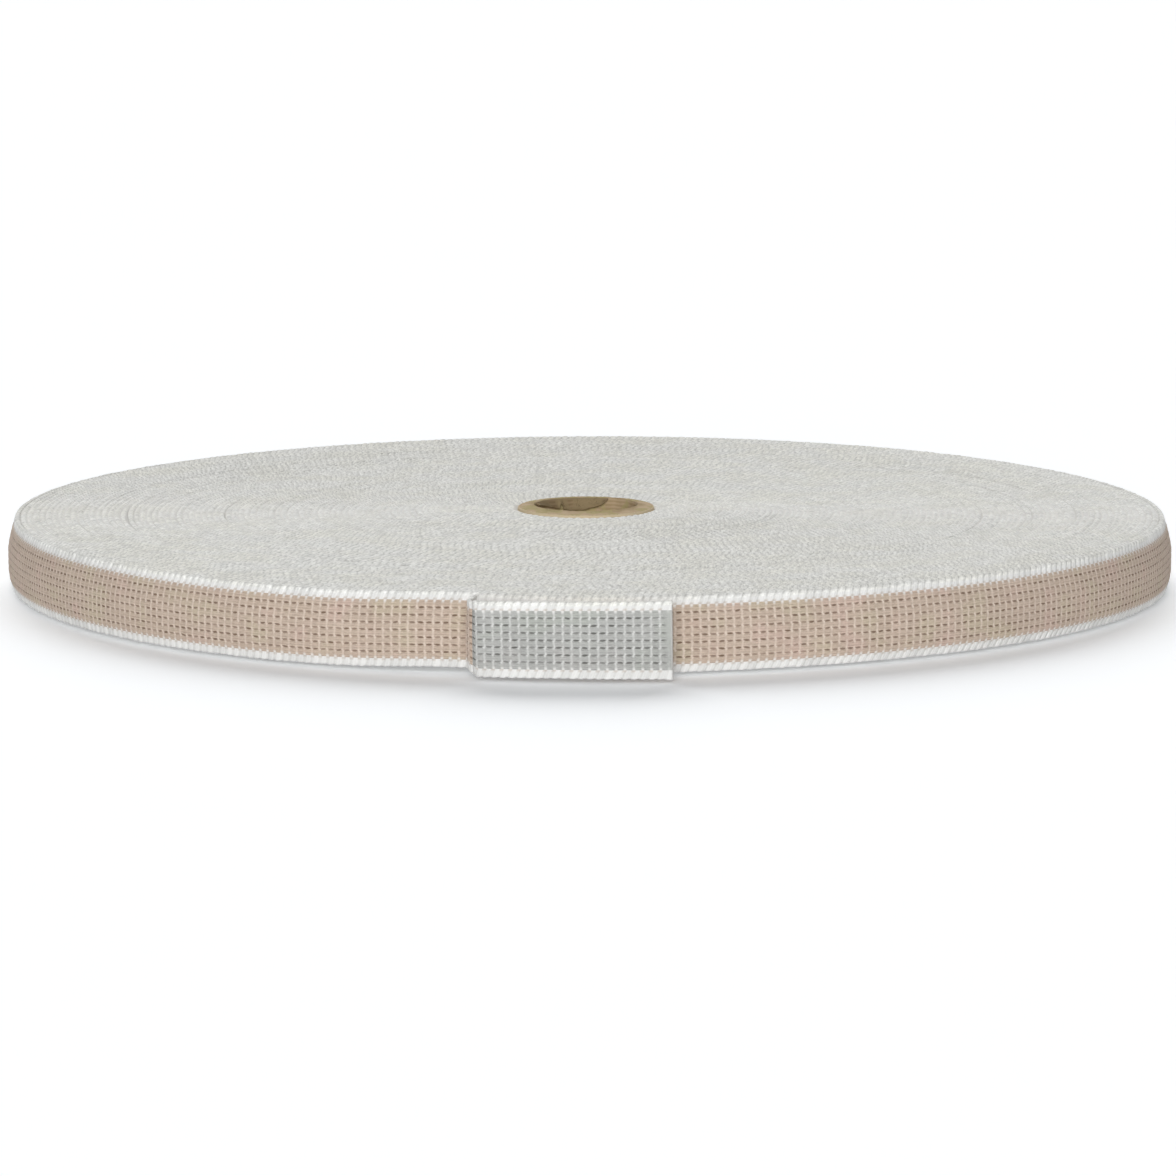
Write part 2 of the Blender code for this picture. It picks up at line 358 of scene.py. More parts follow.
@dataclass(frozen=True)
class Section:
    """Lays out the lines of the band's section, from its upper edge to its lower one."""

    band: Webbing
    per_rib: int
    per_selvedge: int
    per_edge: int
    flat_bead: float = 0.38
    tucked_in: float = 0.001

    def edge(self, side: int) -> list[Row]:
        """The upper edge from the middle of its crown down to a coloured face.

        Args:
            side: 1 for the beige side, -1 for the grey one.

        Returns:
            The rows.
        """
        band = self.band
        half = band.thickness / 2
        rows = []
        for i in range(self.per_edge + 1):
            angle = math.pi / 2 * (1 - i / self.per_edge)
            across, up = math.cos(angle), math.sin(angle)
            below = band.edge_round * (1 - up)
            reach = half * across + below
            rows.append(self.loop_row(side * half * across, below, side * across, up, side * reach))
        for i in range(1, self.per_selvedge + 1):
            below = band.edge_round + (band.selvedge - band.edge_round) * i / self.per_selvedge
            rows.append(self.loop_row(side * half, below, side, 0.0, side * (half + below)))
        return rows

    def loop_row(self, depth: float, below: float, out_depth: float, out_height: float, reach: float) -> Row:
        """One row of the slanted weft loops.

        Args:
            depth: how far it lies out of the middle of the band's thickness.
            below: how far it lies below the upper edge.
            out_depth: how much the relief stands out in depth.
            out_height: how much the relief stands out in height.
            reach: distance from the crown, along the section.

        Returns:
            The row.
        """
        height = self.band.width - below
        across = (below / self.band.selvedge - self.flat_bead) / (1 - self.flat_bead)
        crown = math.sqrt(max(0.0, 1 - max(0.0, across) ** 2))
        shift = self.band.slanted(reach)
        return Row(depth, height, out_depth, out_height, crown, 1.0, shift, Cloth.SELVEDGE)

    def side(self, side: int) -> list[Row]:
        """One whole side, from the middle of the upper crown to the middle of the lower one.

        Args:
            side: 1 for the beige side, -1 for the grey one.

        Returns:
            The rows.
        """
        band = self.band
        face = Cloth.FACE if side > 0 else Cloth.REVERSE
        shift = band.slant * side
        upper = self.edge(side)
        lower = [row.mirrored(band.width, 2 * shift) for row in reversed(upper)]
        rows = upper[:-1]
        count = band.ribs * self.per_rib
        for i in range(count + 1):
            within = 2 * (i / self.per_rib % 1) - 1
            crown = math.sqrt(max(0.0, 1 - within * within))
            height = band.width - band.selvedge - band.rib * i / self.per_rib
            cloth = Cloth.SELVEDGE if i == count else face
            bead = 0.5 if i in (0, count) else 0.0
            rows.append(Row(side * band.thickness / 2, height, side, 0.0, crown, bead, shift, cloth))
        return rows + lower[1:]

    def outer_turn(self, half: float, top_half: float, crown_depth: float) -> list[Row]:
        """The beige side and a little of the grey one at each edge, where it goes down between turns.

        Args:
            half: half the thickness of a crown.
            top_half: half the breadth of a crown's top.
            crown_depth: how far a crown's sides lie below its top.

        Returns:
            The rows.
        """
        inner = [
            self.loop_row(-top_half, 0.0, -0.4, 0.9, -top_half),
            self.loop_row(-half, crown_depth, -0.7, 0.7, -half),
            self.loop_row(-half, self.tucked_in, -1.0, 0.0, -half),
        ]
        lower = [row.mirrored(self.band.width, 2 * self.band.slant) for row in inner]
        return inner[::-1] + self.side(1) + lower


@dataclass(frozen=True)
class Path:
    """Where the band runs, at evenly spaced places in its weave."""

    middle: np.ndarray
    across: np.ndarray
    outward: np.ndarray
    inward: np.ndarray
    taper: np.ndarray
    melt: np.ndarray
    cut: np.ndarray
    per_pick: int

    @property
    def picks(self) -> float:
        """How many picks of the weave the path is long."""
        return (len(self.middle) - 1) / self.per_pick


@dataclass(frozen=True)
class Gap:
    """A place where two neighbouring turns stand a little apart. Its angle and spread are in degrees."""

    radius: float
    angle: float
    spread: float
    width: float
    fades_over: float = 0.012
    follows_within: float = 1.6

    def opening(self, angle: np.ndarray) -> tuple[np.ndarray, np.ndarray]:
        """Where the gap lies.

        Args:
            angle: angles round the axis.

        Returns:
            The gap's radius and its width at these angles.
        """
        away = away_from(math.radians(self.angle), angle)
        nearby = np.exp(-((away / math.radians(self.spread)) ** 2))
        follow = np.clip(self.follows_within - np.abs(away), 0.0, 1.0)
        return self.radius - TURN_PITCH * away / FULL_TURN * follow, self.width * nearby

    def pushed_in(self, angle: np.ndarray, radius: np.ndarray) -> np.ndarray:
        """How far the turns inside the gap lie in from their usual radius.

        Args:
            angle: angles round the axis.
            radius: the turns' usual radii there.

        Returns:
            The ways in.
        """
        middle, width = self.opening(angle)
        inside = middle - radius
        return width * np.where(inside > 0, np.clip(1 - inside / self.fades_over, 0.0, 1.0), 0.0)


@dataclass(frozen=True)
class Winding:
    """How the band is wound. The sizes and formulas are those of the solids.

    sag gives the radii between which the lower side comes down to the ground and lifts off again. A
    wander gives the distance between its turning points, how far it goes and its seed. A level gives a
    radius and how far the upper edge lies above its usual height there. A term of the roundness gives
    its waves in a turn and their two sizes.
    """

    band: Webbing
    axis: Vector
    gaps: tuple[Gap, ...] = (
        Gap(0.1478, 184.0, 12.0, 0.00018),
        Gap(0.1323, 185.5, 6.0, 0.00044),
        Gap(0.1245, 187.0, 10.0, 0.00019),
        Gap(0.1175, 186.0, 8.0, 0.00018),
        Gap(0.1045, 183.0, 12.0, 0.00018),
        Gap(0.1478, -4.0, 14.0, 0.00017),
        Gap(0.1405, -6.0, 14.0, 0.00019),
        Gap(0.1280, -3.0, 13.0, 0.00018),
        Gap(0.1138, -8.0, 14.0, 0.00019),
    )
    air_gap: float = 0.0003
    roll_radius: float = 0.166
    core_radius: float = 0.0195
    handover_x: float = 0.015
    edge_lift: float = 0.0008
    sag: tuple[float, float, float, float] = (0.040, 0.062, 0.122, 0.146)
    fold_lift: float = 0.0010
    fold_lift_angle: float = math.radians(258)
    fold_lift_spread: float = math.radians(8)
    roundness: tuple[tuple[int, float, float], ...] = ((3, 0.00025, -0.00062), (4, 0.00016, -0.00074))
    levels: tuple[tuple[float, float], ...] = (
        (0.0400, 0.00006),
        (0.0620, -0.00004),
        (0.0980, 0.00007),
        (0.1136, 0.00009),
        (0.1154, -0.00003),
        (0.1316, 0.00007),
        (0.1334, -0.00004),
        (0.1460, 0.00008),
        (0.1478, -0.00002),
        (0.1600, 0.0),
    )
    path_step: float = math.radians(0.5)
    settled_after: float = 0.6
    pick_wander: tuple[float, float, int] = (0.9, 0.8, 11)
    radius_wander: tuple[float, float, int] = (0.055, 0.00005, 12)
    height_wander: tuple[float, float, int] = (0.045, 0.00007, 13)

    @property
    def handover(self) -> float:
        """Angle at which the outermost turn becomes the loose end."""
        return FRONT + math.asin(self.handover_x / self.roll_radius)

    @property
    def wound_angle(self) -> float:
        """Angle through which the band is wound, from the handover in to the core."""
        last = self.core_radius + self.air_gap + self.band.thickness
        return (self.roll_radius - last) / TURN_PITCH * FULL_TURN

    def outline_radius(self, angle: np.ndarray) -> np.ndarray:
        """Radius of the band's outer face, which shrinks by a turn's pitch in each turn."""
        return self.roll_radius - TURN_PITCH * (angle - self.handover) / FULL_TURN

    def out_of_round(self, angle: np.ndarray, radius: np.ndarray) -> np.ndarray:
        """How far the winding strays from a circle at this angle."""
        rim = sum(a * np.cos(n * angle) + b * np.sin(n * angle) for n, a, b in self.roundness)
        return rim * self.wound_share(radius) ** 2

    def lift(self, angle: np.ndarray, radius: np.ndarray) -> np.ndarray:
        """Height of the band's lower edge above the ground.

        Args:
            angle: angles round the axis.
            radius: the turns' radii.

        Returns:
            The heights.
        """
        starts, full_from, full_to, ends = self.sag
        sag = smooth_step((radius - starts) / (full_from - starts))
        sag = sag - smooth_step((radius - full_to) / (ends - full_to))
        near_fold = np.exp(-((away_from(self.fold_lift_angle, angle) / self.fold_lift_spread) ** 2))
        outer_turns = smooth_step((radius - ends) / (self.roll_radius - ends))
        return self.edge_lift * (1 - sag) + self.fold_lift * near_fold * outer_turns

    def level(self, radius: np.ndarray) -> np.ndarray:
        """Height of a turn's upper edge above its neighbours' usual one."""
        radii, heights = zip(*self.levels)
        return np.interp(radius, radii, heights)

    def wound_share(self, radius: np.ndarray) -> np.ndarray:
        """0 at the core and 1 at the rim."""
        return (radius - self.core_radius) / (self.roll_radius - self.core_radius)

    def place(
        self, angle: np.ndarray, radius: np.ndarray, height: np.ndarray, curve: float = 0.0
    ) -> np.ndarray:
        """Points of the winding.

        Args:
            angle: round the axis.
            radius: before the winding's out of round.
            height: above the ground.
            curve: how far the rim curves in here.

        Returns:
            The points.
        """
        true_radius = radius + self.out_of_round(angle, radius) - curve * self.wound_share(radius)
        return round_axis(self.axis, angle, true_radius, height)

    def path(self, per_pick: int) -> Path:
        """The wound band from the handover in to the core.

        Args:
            per_pick: how many points of the path a pick has.

        Returns:
            The path. Its picks wander a little in length, as they do on a real band.
        """
        turned = np.arange(0.0, self.wound_angle, self.path_step)
        middle_radius = self.roll_radius - self.band.thickness / 2
        length = middle_radius * turned - TURN_PITCH * turned**2 / (2 * FULL_TURN)
        woven = length / self.band.pick + wander(length, *self.pick_wander)
        woven -= woven[0]
        picks = np.arange(0.0, math.floor(woven[-1]) + 0.5 / per_pick, 1 / per_pick)
        turned = np.interp(picks, woven, turned)
        length = np.interp(picks, woven, length)
        angle = self.handover + turned
        settled = smooth_step(length / FULL_TURN / self.roll_radius - self.settled_after)
        radius = self.outline_radius(angle) - self.band.thickness / 2
        radius = radius + wander(length, *self.radius_wander) * settled
        for gap in self.gaps:
            radius = radius - gap.pushed_in(angle, radius)
        foot = self.lift(angle, radius)
        rise = self.level(radius) + wander(length, *self.height_wander) * settled
        head = foot + self.band.width + rise
        middle = self.place(angle, radius, (foot + head) / 2)
        across = np.zeros_like(middle)
        across[:, 2] = head - foot
        outward = outwards(angle)
        inward = -outward * self.wound_share(radius)[:, None]
        whole, none = np.ones_like(angle), np.zeros_like(angle)
        return Path(middle, across, outward, inward, whole, none, none, per_pick)


@dataclass(frozen=True)
class LooseEnd:
    """The last stretch of the band: along the roll, round the fold and back as a tab to its cut end.

    A station of the tab gives its share of the tab's length, how far it stands off the roll, its lean
    in degrees and the height of its foot.
    """

    winding: Winding
    fold_x: float = -0.0300
    cut_x: float = 0.0210
    fold_outer_radius: float = 0.0038
    tuck_below: float = 0.0013
    tuck_above: float = 0.0005
    melt_from: float = 0.0008
    melt_to: float = 0.0030
    rounded_over: float = 0.0004
    cut_line: float = 0.00022
    overlap: float = 0.00030
    step: float = 0.0001
    stations: tuple[tuple[float, float, float, float], ...] = (
        (0.00, 0.0000, -5.0, 0.00100),
        (0.35, 0.0010, -2.5, 0.00110),
        (0.70, 0.0021, 2.0, 0.00110),
        (1.00, 0.0029, 5.0, 0.00105),
    )

    def tab_value(self, share: np.ndarray, column: int) -> np.ndarray:
        """A column of the tab's stations, eased between the rows.

        Args:
            share: shares of the tab's length.
            column: the column.

        Returns:
            Its values at these shares.
        """
        table = np.array(self.stations)
        row = np.clip(np.searchsorted(table[:, 0], share, side="right") - 1, 0, len(table) - 2)
        low, high = table[row], table[row + 1]
        eased = smooth_step((share - low[:, 0]) / (high[:, 0] - low[:, 0]))
        return low[:, column] + (high[:, column] - low[:, column]) * eased

    def ribbon(self) -> tuple[np.ndarray, np.ndarray, np.ndarray, np.ndarray]:
        """The band from handover to cut.

        Returns:
            Its foot line, its head line, the direction out of its beige face, and the way in towards the
            axis, as long as the share of the roll's barrel shape that it follows.
        """
        winding, band = self.winding, self.winding.band
        spine = winding.air_gap + band.thickness / 2
        bend = self.fold_outer_radius - band.thickness / 2
        turn_at = self.fold_x + self.fold_outer_radius
        run = np.arange(winding.handover_x + self.overlap, turn_at, -self.step)
        turn = np.linspace(0.0, math.pi, int(math.pi * bend / self.step))
        share = np.linspace(0.0, 1.0, int((self.cut_x - turn_at) / self.step))[1:]
        on_run, on_tab = np.zeros_like(run), np.zeros_like(share)

        arc = np.concatenate([run, turn_at - bend * np.sin(turn), turn_at + (self.cut_x - turn_at) * share])
        on_fold = spine + bend * (1 - np.cos(turn))
        out = np.concatenate([on_run + spine, on_fold, spine + 2 * bend + self.tab_value(share, 1)])
        turned = np.concatenate([on_run, turn, on_tab + math.pi])
        lean_at_fold, foot_at_fold = self.stations[0][2:]
        lean = np.concatenate([on_run, lean_at_fold * smooth_step(turn / math.pi), self.tab_value(share, 2)])
        angle = FRONT + arc / winding.roll_radius
        run_foot = winding.lift(angle, winding.roll_radius)
        fold_foot = run_foot[len(run)]
        fold_foot = fold_foot + (foot_at_fold - fold_foot) * smooth_step(turn / math.pi)
        foot = np.concatenate([run_foot[: len(run)], fold_foot, self.tab_value(share, 3)])
        tuck = np.concatenate([on_run, np.sin(turn) ** 2, on_tab])
        head = foot + band.width - self.tuck_above * tuck
        middle_height = foot + band.width / 2
        foot = foot + self.tuck_below * tuck

        base = winding.outline_radius(angle) - TURN_PITCH
        base = base + winding.out_of_round(angle, base) + out
        edges = []
        for height in (foot, head):
            radius = base + (middle_height - height) * np.tan(np.radians(lean))
            edges.append(round_axis(winding.axis, angle, radius, height))
        outward, onward = outwards(angle), outwards(angle + math.pi / 2)
        facing = outward * np.cos(turned)[:, None] - onward * np.sin(turned)[:, None]
        inward = -outward * (1 - smooth_step(turned / math.pi))[:, None]
        return edges[0], edges[1], facing, inward

    def path(self, per_pick: int) -> tuple[Path, float]:
        """The loose end from its cut back to the handover, as the weave runs on from there.

        Args:
            per_pick: how many points of the path a pick has.

        Returns:
            The path and the loose end's flat length.
        """
        foot, head, facing, inward = (line[::-1] for line in self.ribbon())
        middle = (foot + head) / 2
        steps = np.linalg.norm(np.diff(middle, axis=0), axis=1)
        length = np.concatenate([[0.0], np.cumsum(steps)])
        picks = round(length[-1] / self.winding.band.pick)
        at = np.linspace(0.0, length[-1], picks * per_pick + 1)

        def resampled(values: np.ndarray) -> np.ndarray:
            """The values at the evenly spaced places."""
            return np.stack([np.interp(at, length, values[:, i]) for i in range(3)], axis=1)

        across = resampled(head) - resampled(foot)
        upright = across / np.linalg.norm(across, axis=1)[:, None]
        facing = resampled(facing)
        facing = facing - upright * np.sum(facing * upright, axis=1)[:, None]
        facing = facing / np.linalg.norm(facing, axis=1)[:, None]
        from_cut = np.clip(at / self.rounded_over, 0.0, 1.0)
        from_start = np.clip((at[-1] - at) / self.overlap, 0.0, 1.0)
        taper = np.sqrt(1 - (1 - from_cut) ** 2) * from_start
        melt = 1 - smooth_step((at - self.melt_from) / (self.melt_to - self.melt_from))
        cut = 1 - smooth_step((at - self.cut_line) / self.cut_line)
        path = Path(resampled(middle), across, facing, resampled(inward), taper, melt, cut, per_pick)
        return path, float(length[-1])


@dataclass(frozen=True)
class Relief:
    """How deep the weave of a piece is, in metres, and how much its stations gather at the wefts."""

    loops: float
    unevenness: float
    grooves: float = 0.0
    wefts: float = 0.0
    gather: float = 0.0

    def sizes(self) -> dict[str, float]:
        """The values of the tree's inputs."""
        names = ("Loop Depth", "Unevenness", "Groove Depth", "Weft Depth", "Gather at Weft")
        return dict(zip(names, (self.loops, self.unevenness, self.grooves, self.wefts, self.gather)))


class WovenSweep:
    """Sweeps a section of the band along a path with Geometry Nodes, and raises the weave on it.

    The tree takes the path as its geometry and the section as an object of loose points. Each vertex of
    a grid is one station along the path and one row of the section. Stations follow the weave: they lie
    close together where a weft thread crosses, and are slanted with the loops of the selvedges.
    """

    MATERIALS = tuple(cloth.name.title() for cloth in Cloth)
    INPUTS = {
        "Geometry": ("Path",),
        "Object": ("Section",),
        "Int": ("Rows", "Stations per Pick", "Points per Pick", "First Pick", "Picks", "Seed"),
        "Float": (
            "Picks in Path",
            "Band Width",
            "Rib Pitch",
            "Selvedge Width",
            "Groove Depth",
            "Weft Depth",
            "Loop Depth",
            "Gather at Weft",
            "Unevenness",
        ),
        "Material": MATERIALS,
    }
    SEALED_SELVEDGE = 0.00022
    SEALED_FACE = -0.00010
    GROOVE_AT_WEFT = 0.3
    WEFT_REACH = (0.24, 0.08)
    LOOP_AT_FACE = 0.35

    def __init__(self, band: Webbing, finishes: dict[str, Material]) -> None:
        """Builds the tree once, for every piece that is swept.

        Args:
            band: the webbing.
            finishes: every finish by its name.
        """
        self.band = band
        self.materials = {name: finishes[name] for name in self.MATERIALS}
        self.tree = bpy.data.node_groups.new("woven_sweep", "GeometryNodeTree")
        self.sockets = add_sockets(self.tree, self.INPUTS)
        add_sockets(self.tree, {"Geometry": ("Cloth",)}, "OUTPUT")
        self.sketch = Sketch(self.tree)
        self.given = self.sketch.node("NodeGroupInput").outputs
        self.lay_out()

    def number(self, name: str) -> Value:
        """One of the tree's named sizes."""
        return self.sketch.value(self.given[name])

    def sample(self, geometry: Socket, what: Socket, index: Value, kind: str = "FLOAT_VECTOR") -> Socket:
        """A field's value at one point of another geometry.

        Args:
            geometry: the other geometry.
            what: the field.
            index: the point's number.
            kind: the field's kind.

        Returns:
            The value.
        """
        inputs = {"Geometry": geometry, "Index": index}
        settings = {"data_type": kind, "domain": "POINT", "clamp": True}
        made = self.sketch.node("GeometryNodeSampleIndex", inputs, **settings)
        self.sketch.put(what, made.inputs["Value"])
        return made.outputs["Value"]

    def attribute(self, name: str, kind: str = "FLOAT_VECTOR") -> Socket:
        """A named attribute as a field."""
        made = self.sketch.node("GeometryNodeInputNamedAttribute", {"Name": name}, data_type=kind)
        return made.outputs["Attribute"]

    def along_path(self, what: Socket, place: Value) -> Socket:
        """A vector of the path at a place between two of its points.

        Args:
            what: the vector's field.
            place: the place, in points of the path.

        Returns:
            The vector.
        """
        low = place.floor()
        ends = [self.sample(self.given["Path"], what, low + i) for i in (0.0, 1.0)]
        made = self.sketch.node("ShaderNodeMix", {"Factor": place - low}, data_type="VECTOR")
        self.sketch.put(ends[0], made.inputs[4])
        self.sketch.put(ends[1], made.inputs[5])
        return made.outputs[1]

    def lay_out(self) -> None:
        """Adds all the tree's nodes."""
        sketch = self.sketch
        rows = self.number("Rows")
        stations = self.number("Picks") * self.number("Stations per Pick")
        grid = sketch.node("GeometryNodeMeshGrid", {"Vertices X": stations + 1.0, "Vertices Y": rows})
        index = sketch.value(sketch.node("GeometryNodeInputIndex").outputs[0])
        station = ((index + 0.5) / rows).floor()
        row = index - station * rows

        info = sketch.node("GeometryNodeObjectInfo", {"Object": self.given["Section"]})
        section = info.outputs["Geometry"]
        position = sketch.node("GeometryNodeInputPosition").outputs[0]
        depth, height, curve = sketch.parts(self.sample(section, position, row))
        out_depth, out_height, _ = sketch.parts(self.sample(section, self.attribute("out"), row))
        crown, bead, shift = sketch.parts(self.sample(section, self.attribute("weave"), row))

        evenly = station / self.number("Stations per Pick")
        gather = self.number("Gather at Weft") / FULL_TURN
        pick = self.number("First Pick") + evenly - sketch.math("SINE", evenly * FULL_TURN) * gather
        place = (pick - shift).clamp(0.0, self.number("Picks in Path")) * self.number("Points per Pick")
        middle = self.along_path(position, place)
        names = ("across", "outward", "inward", "finish")
        across, outward, inward, finish = (self.along_path(self.attribute(name), place) for name in names)
        taper, melt, cut = sketch.parts(finish)

        band_width = self.number("Band Width")
        rib = (band_width - self.number("Selvedge Width") - height) / self.number("Rib Pitch")
        sealed = melt * (bead * self.SEALED_SELVEDGE + self.SEALED_FACE)
        relief = self.relief(pick, crown, bead) * (1.0 - melt) + sealed
        depth = (depth + out_depth * relief) * taper
        height = (height + out_height * relief) / band_width - 0.5
        moved = sketch.scaled(outward, depth)
        for direction, amount in ((across, height), (inward, curve)):
            moved = sketch.vector("ADD", moved, sketch.scaled(direction, amount))
        moved = sketch.vector("ADD", moved, middle)
        shape = sketch.node("GeometryNodeSetPosition", {"Geometry": grid.outputs["Mesh"], "Position": moved})

        stored = sketch.node(
            "GeometryNodeStoreNamedAttribute",
            {"Geometry": shape.outputs["Geometry"], "Name": "weave"},
            data_type="FLOAT_VECTOR",
            domain="POINT",
        )
        sketch.put(sketch.combine(pick, rib, melt + cut), stored.inputs["Value"])
        smooth = sketch.node("GeometryNodeSetShadeSmooth", {"Geometry": stored.outputs["Geometry"]})
        realized = sketch.node("GeometryNodeRealizeInstances", {"Geometry": smooth.outputs["Geometry"]})
        quads = rows - 1.0
        face_row = index - ((index + 0.5) / quads).floor() * quads
        cloth = self.sample(section, self.attribute("cloth", "FLOAT"), face_row, "FLOAT")
        sketch.node("NodeGroupOutput", {0: self.dressed(realized.outputs["Geometry"], cloth)})

    def dressed(self, geometry: Socket, cloth: Socket) -> Socket:
        """Gives each face its material.

        Args:
            geometry: the swept mesh.
            cloth: number of the cloth that a face shows.

        Returns:
            The mesh with its materials.
        """
        for kind, name in zip(Cloth, self.MATERIALS):
            numbers = {0: cloth, 1: float(kind.value), 12: 0.1}
            chosen = self.sketch.node("FunctionNodeCompare", numbers, data_type="FLOAT", operation="EQUAL")
            inputs = {"Geometry": geometry, "Selection": chosen.outputs[0], "Material": self.given[name]}
            geometry = self.sketch.node("GeometryNodeSetMaterial", inputs).outputs["Geometry"]
        return geometry

    def relief(self, pick: Value, crown: Value, bead: Value) -> Value:
        """How far the weave stands out of the section, never above it.

        Args:
            pick: place in the weave, along the band.
            crown: 1 on a rib's crown, 0 in a groove.
            bead: 1 on a selvedge, 0 on a coloured face.

        Returns:
            The relief in metres.
        """
        sketch = self.sketch
        brick = (crown - 1.0) * self.number("Groove Depth")
        weft = brick * self.GROOVE_AT_WEFT - self.number("Weft Depth")
        woven = brick.towards(weft, pick.near_whole().ease(*self.WEFT_REACH))
        lowest = self.LOOP_AT_FACE
        round_loop = sketch.math("SINE", pick * math.pi).absolute() * (crown * (1 - lowest) + lowest)
        seeds = {"ID": pick.floor(), "Seed": self.given["Seed"]}
        each = sketch.node("FunctionNodeRandomValue", seeds, data_type="FLOAT")
        uneven = (sketch.value(each.outputs[1]) - 1.0) * self.number("Unevenness")
        loop = (round_loop - 1.0) * self.number("Loop Depth") + uneven * round_loop
        return woven.towards(loop, bead)

    def points(self, name: str, places: np.ndarray, **attributes: np.ndarray) -> bpy.types.Object:
        """An object of loose points that carry attributes.

        Args:
            name: the object's name.
            places: where the points lie.
            **attributes: a number or a vector for each point, by the attribute's name.

        Returns:
            The object.
        """
        mesh = bpy.data.meshes.new(name)
        mesh.from_pydata([tuple(place) for place in places], [], [])
        for label, values in attributes.items():
            kind, field = ("FLOAT_VECTOR", "vector") if values.ndim == 2 else ("FLOAT", "value")
            made = mesh.attributes.new(label, kind, "POINT")
            made.data.foreach_set(field, values.astype(np.float32).ravel())
        return linked(name, mesh)

    def sweep(
        self, name: str, path: Path, rows: list[Row], relief: Relief, sizes: dict[str, int]
    ) -> bpy.types.Object:
        """Makes one piece.

        Args:
            name: the piece's name.
            path: where the band runs.
            rows: the section's lines.
            relief: how deep the piece's weave is.
            sizes: the tree's inputs for the stretch of the path, its stations and the seed.

        Returns:
            The piece as a plain mesh.
        """
        band = self.band
        section = self.points(
            f"{name}_section",
            np.array([[r.depth, r.height, band.curve_in(r.height / band.width)] for r in rows]),
            out=np.array([[r.out_depth, r.out_height, 0.0] for r in rows]),
            weave=np.array([[r.crown, r.bead, r.shift] for r in rows]),
            cloth=np.array([float(r.cloth.value) for r in rows]),
        )
        finish = np.stack([path.taper, path.melt, path.cut], axis=1)
        lines = {"across": path.across, "outward": path.outward, "inward": path.inward, "finish": finish}
        guide = self.points(name, path.middle, **lines)
        modifier = guide.modifiers.new("weave", "NODES")
        modifier.node_group = self.tree
        given = {
            "Section": section,
            "Rows": len(rows),
            "Points per Pick": path.per_pick,
            "Picks in Path": path.picks,
            "Band Width": band.width,
            "Rib Pitch": band.rib,
            "Selvedge Width": band.selvedge,
            **relief.sizes(),
            **self.materials,
            **sizes,
        }
        for label, value in given.items():
            modifier[self.sockets[label]] = value
        piece = baked(guide, name)
        for helper in (guide, section):
            bpy.data.objects.remove(helper)
        return piece


def linked(name: str, data: Any) -> bpy.types.Object:
    """A new object of the scene.

    Args:
        name: its name.
        data: its mesh, light or camera.

    Returns:
        The object.
    """
    obj = bpy.data.objects.new(name, data)
    bpy.context.scene.collection.objects.link(obj)
    return obj


def baked(obj: bpy.types.Object, name: str) -> bpy.types.Object:
    """The evaluated object as a new one with a plain mesh and no modifier.

    Args:
        obj: the object with its modifiers. It is renamed.
        name: the new object's name.

    Returns:
        The new object, linked to the scene.
    """
    obj.name = f"{name}_source"
    graph = bpy.context.evaluated_depsgraph_get()
    mesh = bpy.data.meshes.new_from_object(obj.evaluated_get(graph))
    mesh.name = name
    return linked(name, mesh)


def skin(bm: bmesh.types.BMesh, rows: list[list[bmesh.types.BMVert]], closed: bool = True) -> None:
    """Fills the faces between neighbouring rows of points.

    Args:
        bm: the mesh.
        rows: rows of as many points each.
        closed: whether each row is a ring.
    """
    for near, far in zip(rows, rows[1:]):
        for a in range(len(near) if closed else len(near) - 1):
            b = (a + 1) % len(near)
            bm.faces.new((near[a], near[b], far[b], far[a]))


def mesh_object(name: str, bm: bmesh.types.BMesh, material: Material) -> bpy.types.Object:
    """Turns a bmesh into a smooth-shaded object.

    Args:
        name: the object's name.
        bm: the mesh, which is freed.
        material: its one material.

    Returns:
        The object.
    """
    bmesh.ops.recalc_face_normals(bm, faces=bm.faces)
    mesh = bpy.data.meshes.new(name)
    bm.to_mesh(mesh)
    bm.free()
    mesh.materials.append(material)
    mesh.shade_smooth()
    return linked(name, mesh)


def joined(name: str, pieces: list[bpy.types.Object], weld: float) -> bpy.types.Object:
    """Joins pieces with the same materials into one mesh.

    Args:
        name: the new object's name.
        pieces: the pieces, which are removed.
        weld: points closer than this are made one.

    Returns:
        The new object.
    """
    bm = bmesh.new()
    for piece in pieces:
        bm.from_mesh(piece.data)
    bmesh.ops.remove_doubles(bm, verts=bm.verts, dist=weld)
    bmesh.ops.dissolve_degenerate(bm, edges=bm.edges, dist=weld)
    bmesh.ops.recalc_face_normals(bm, faces=bm.faces)
    mesh = pieces[0].data.copy()
    mesh.name = name
    bm.to_mesh(mesh)
    LOG.info("%s: %d open edges after welding", name, sum(edge.is_boundary for edge in bm.edges))
    bm.free()
    for piece in pieces:
        bpy.data.objects.remove(piece)
    return linked(name, mesh)


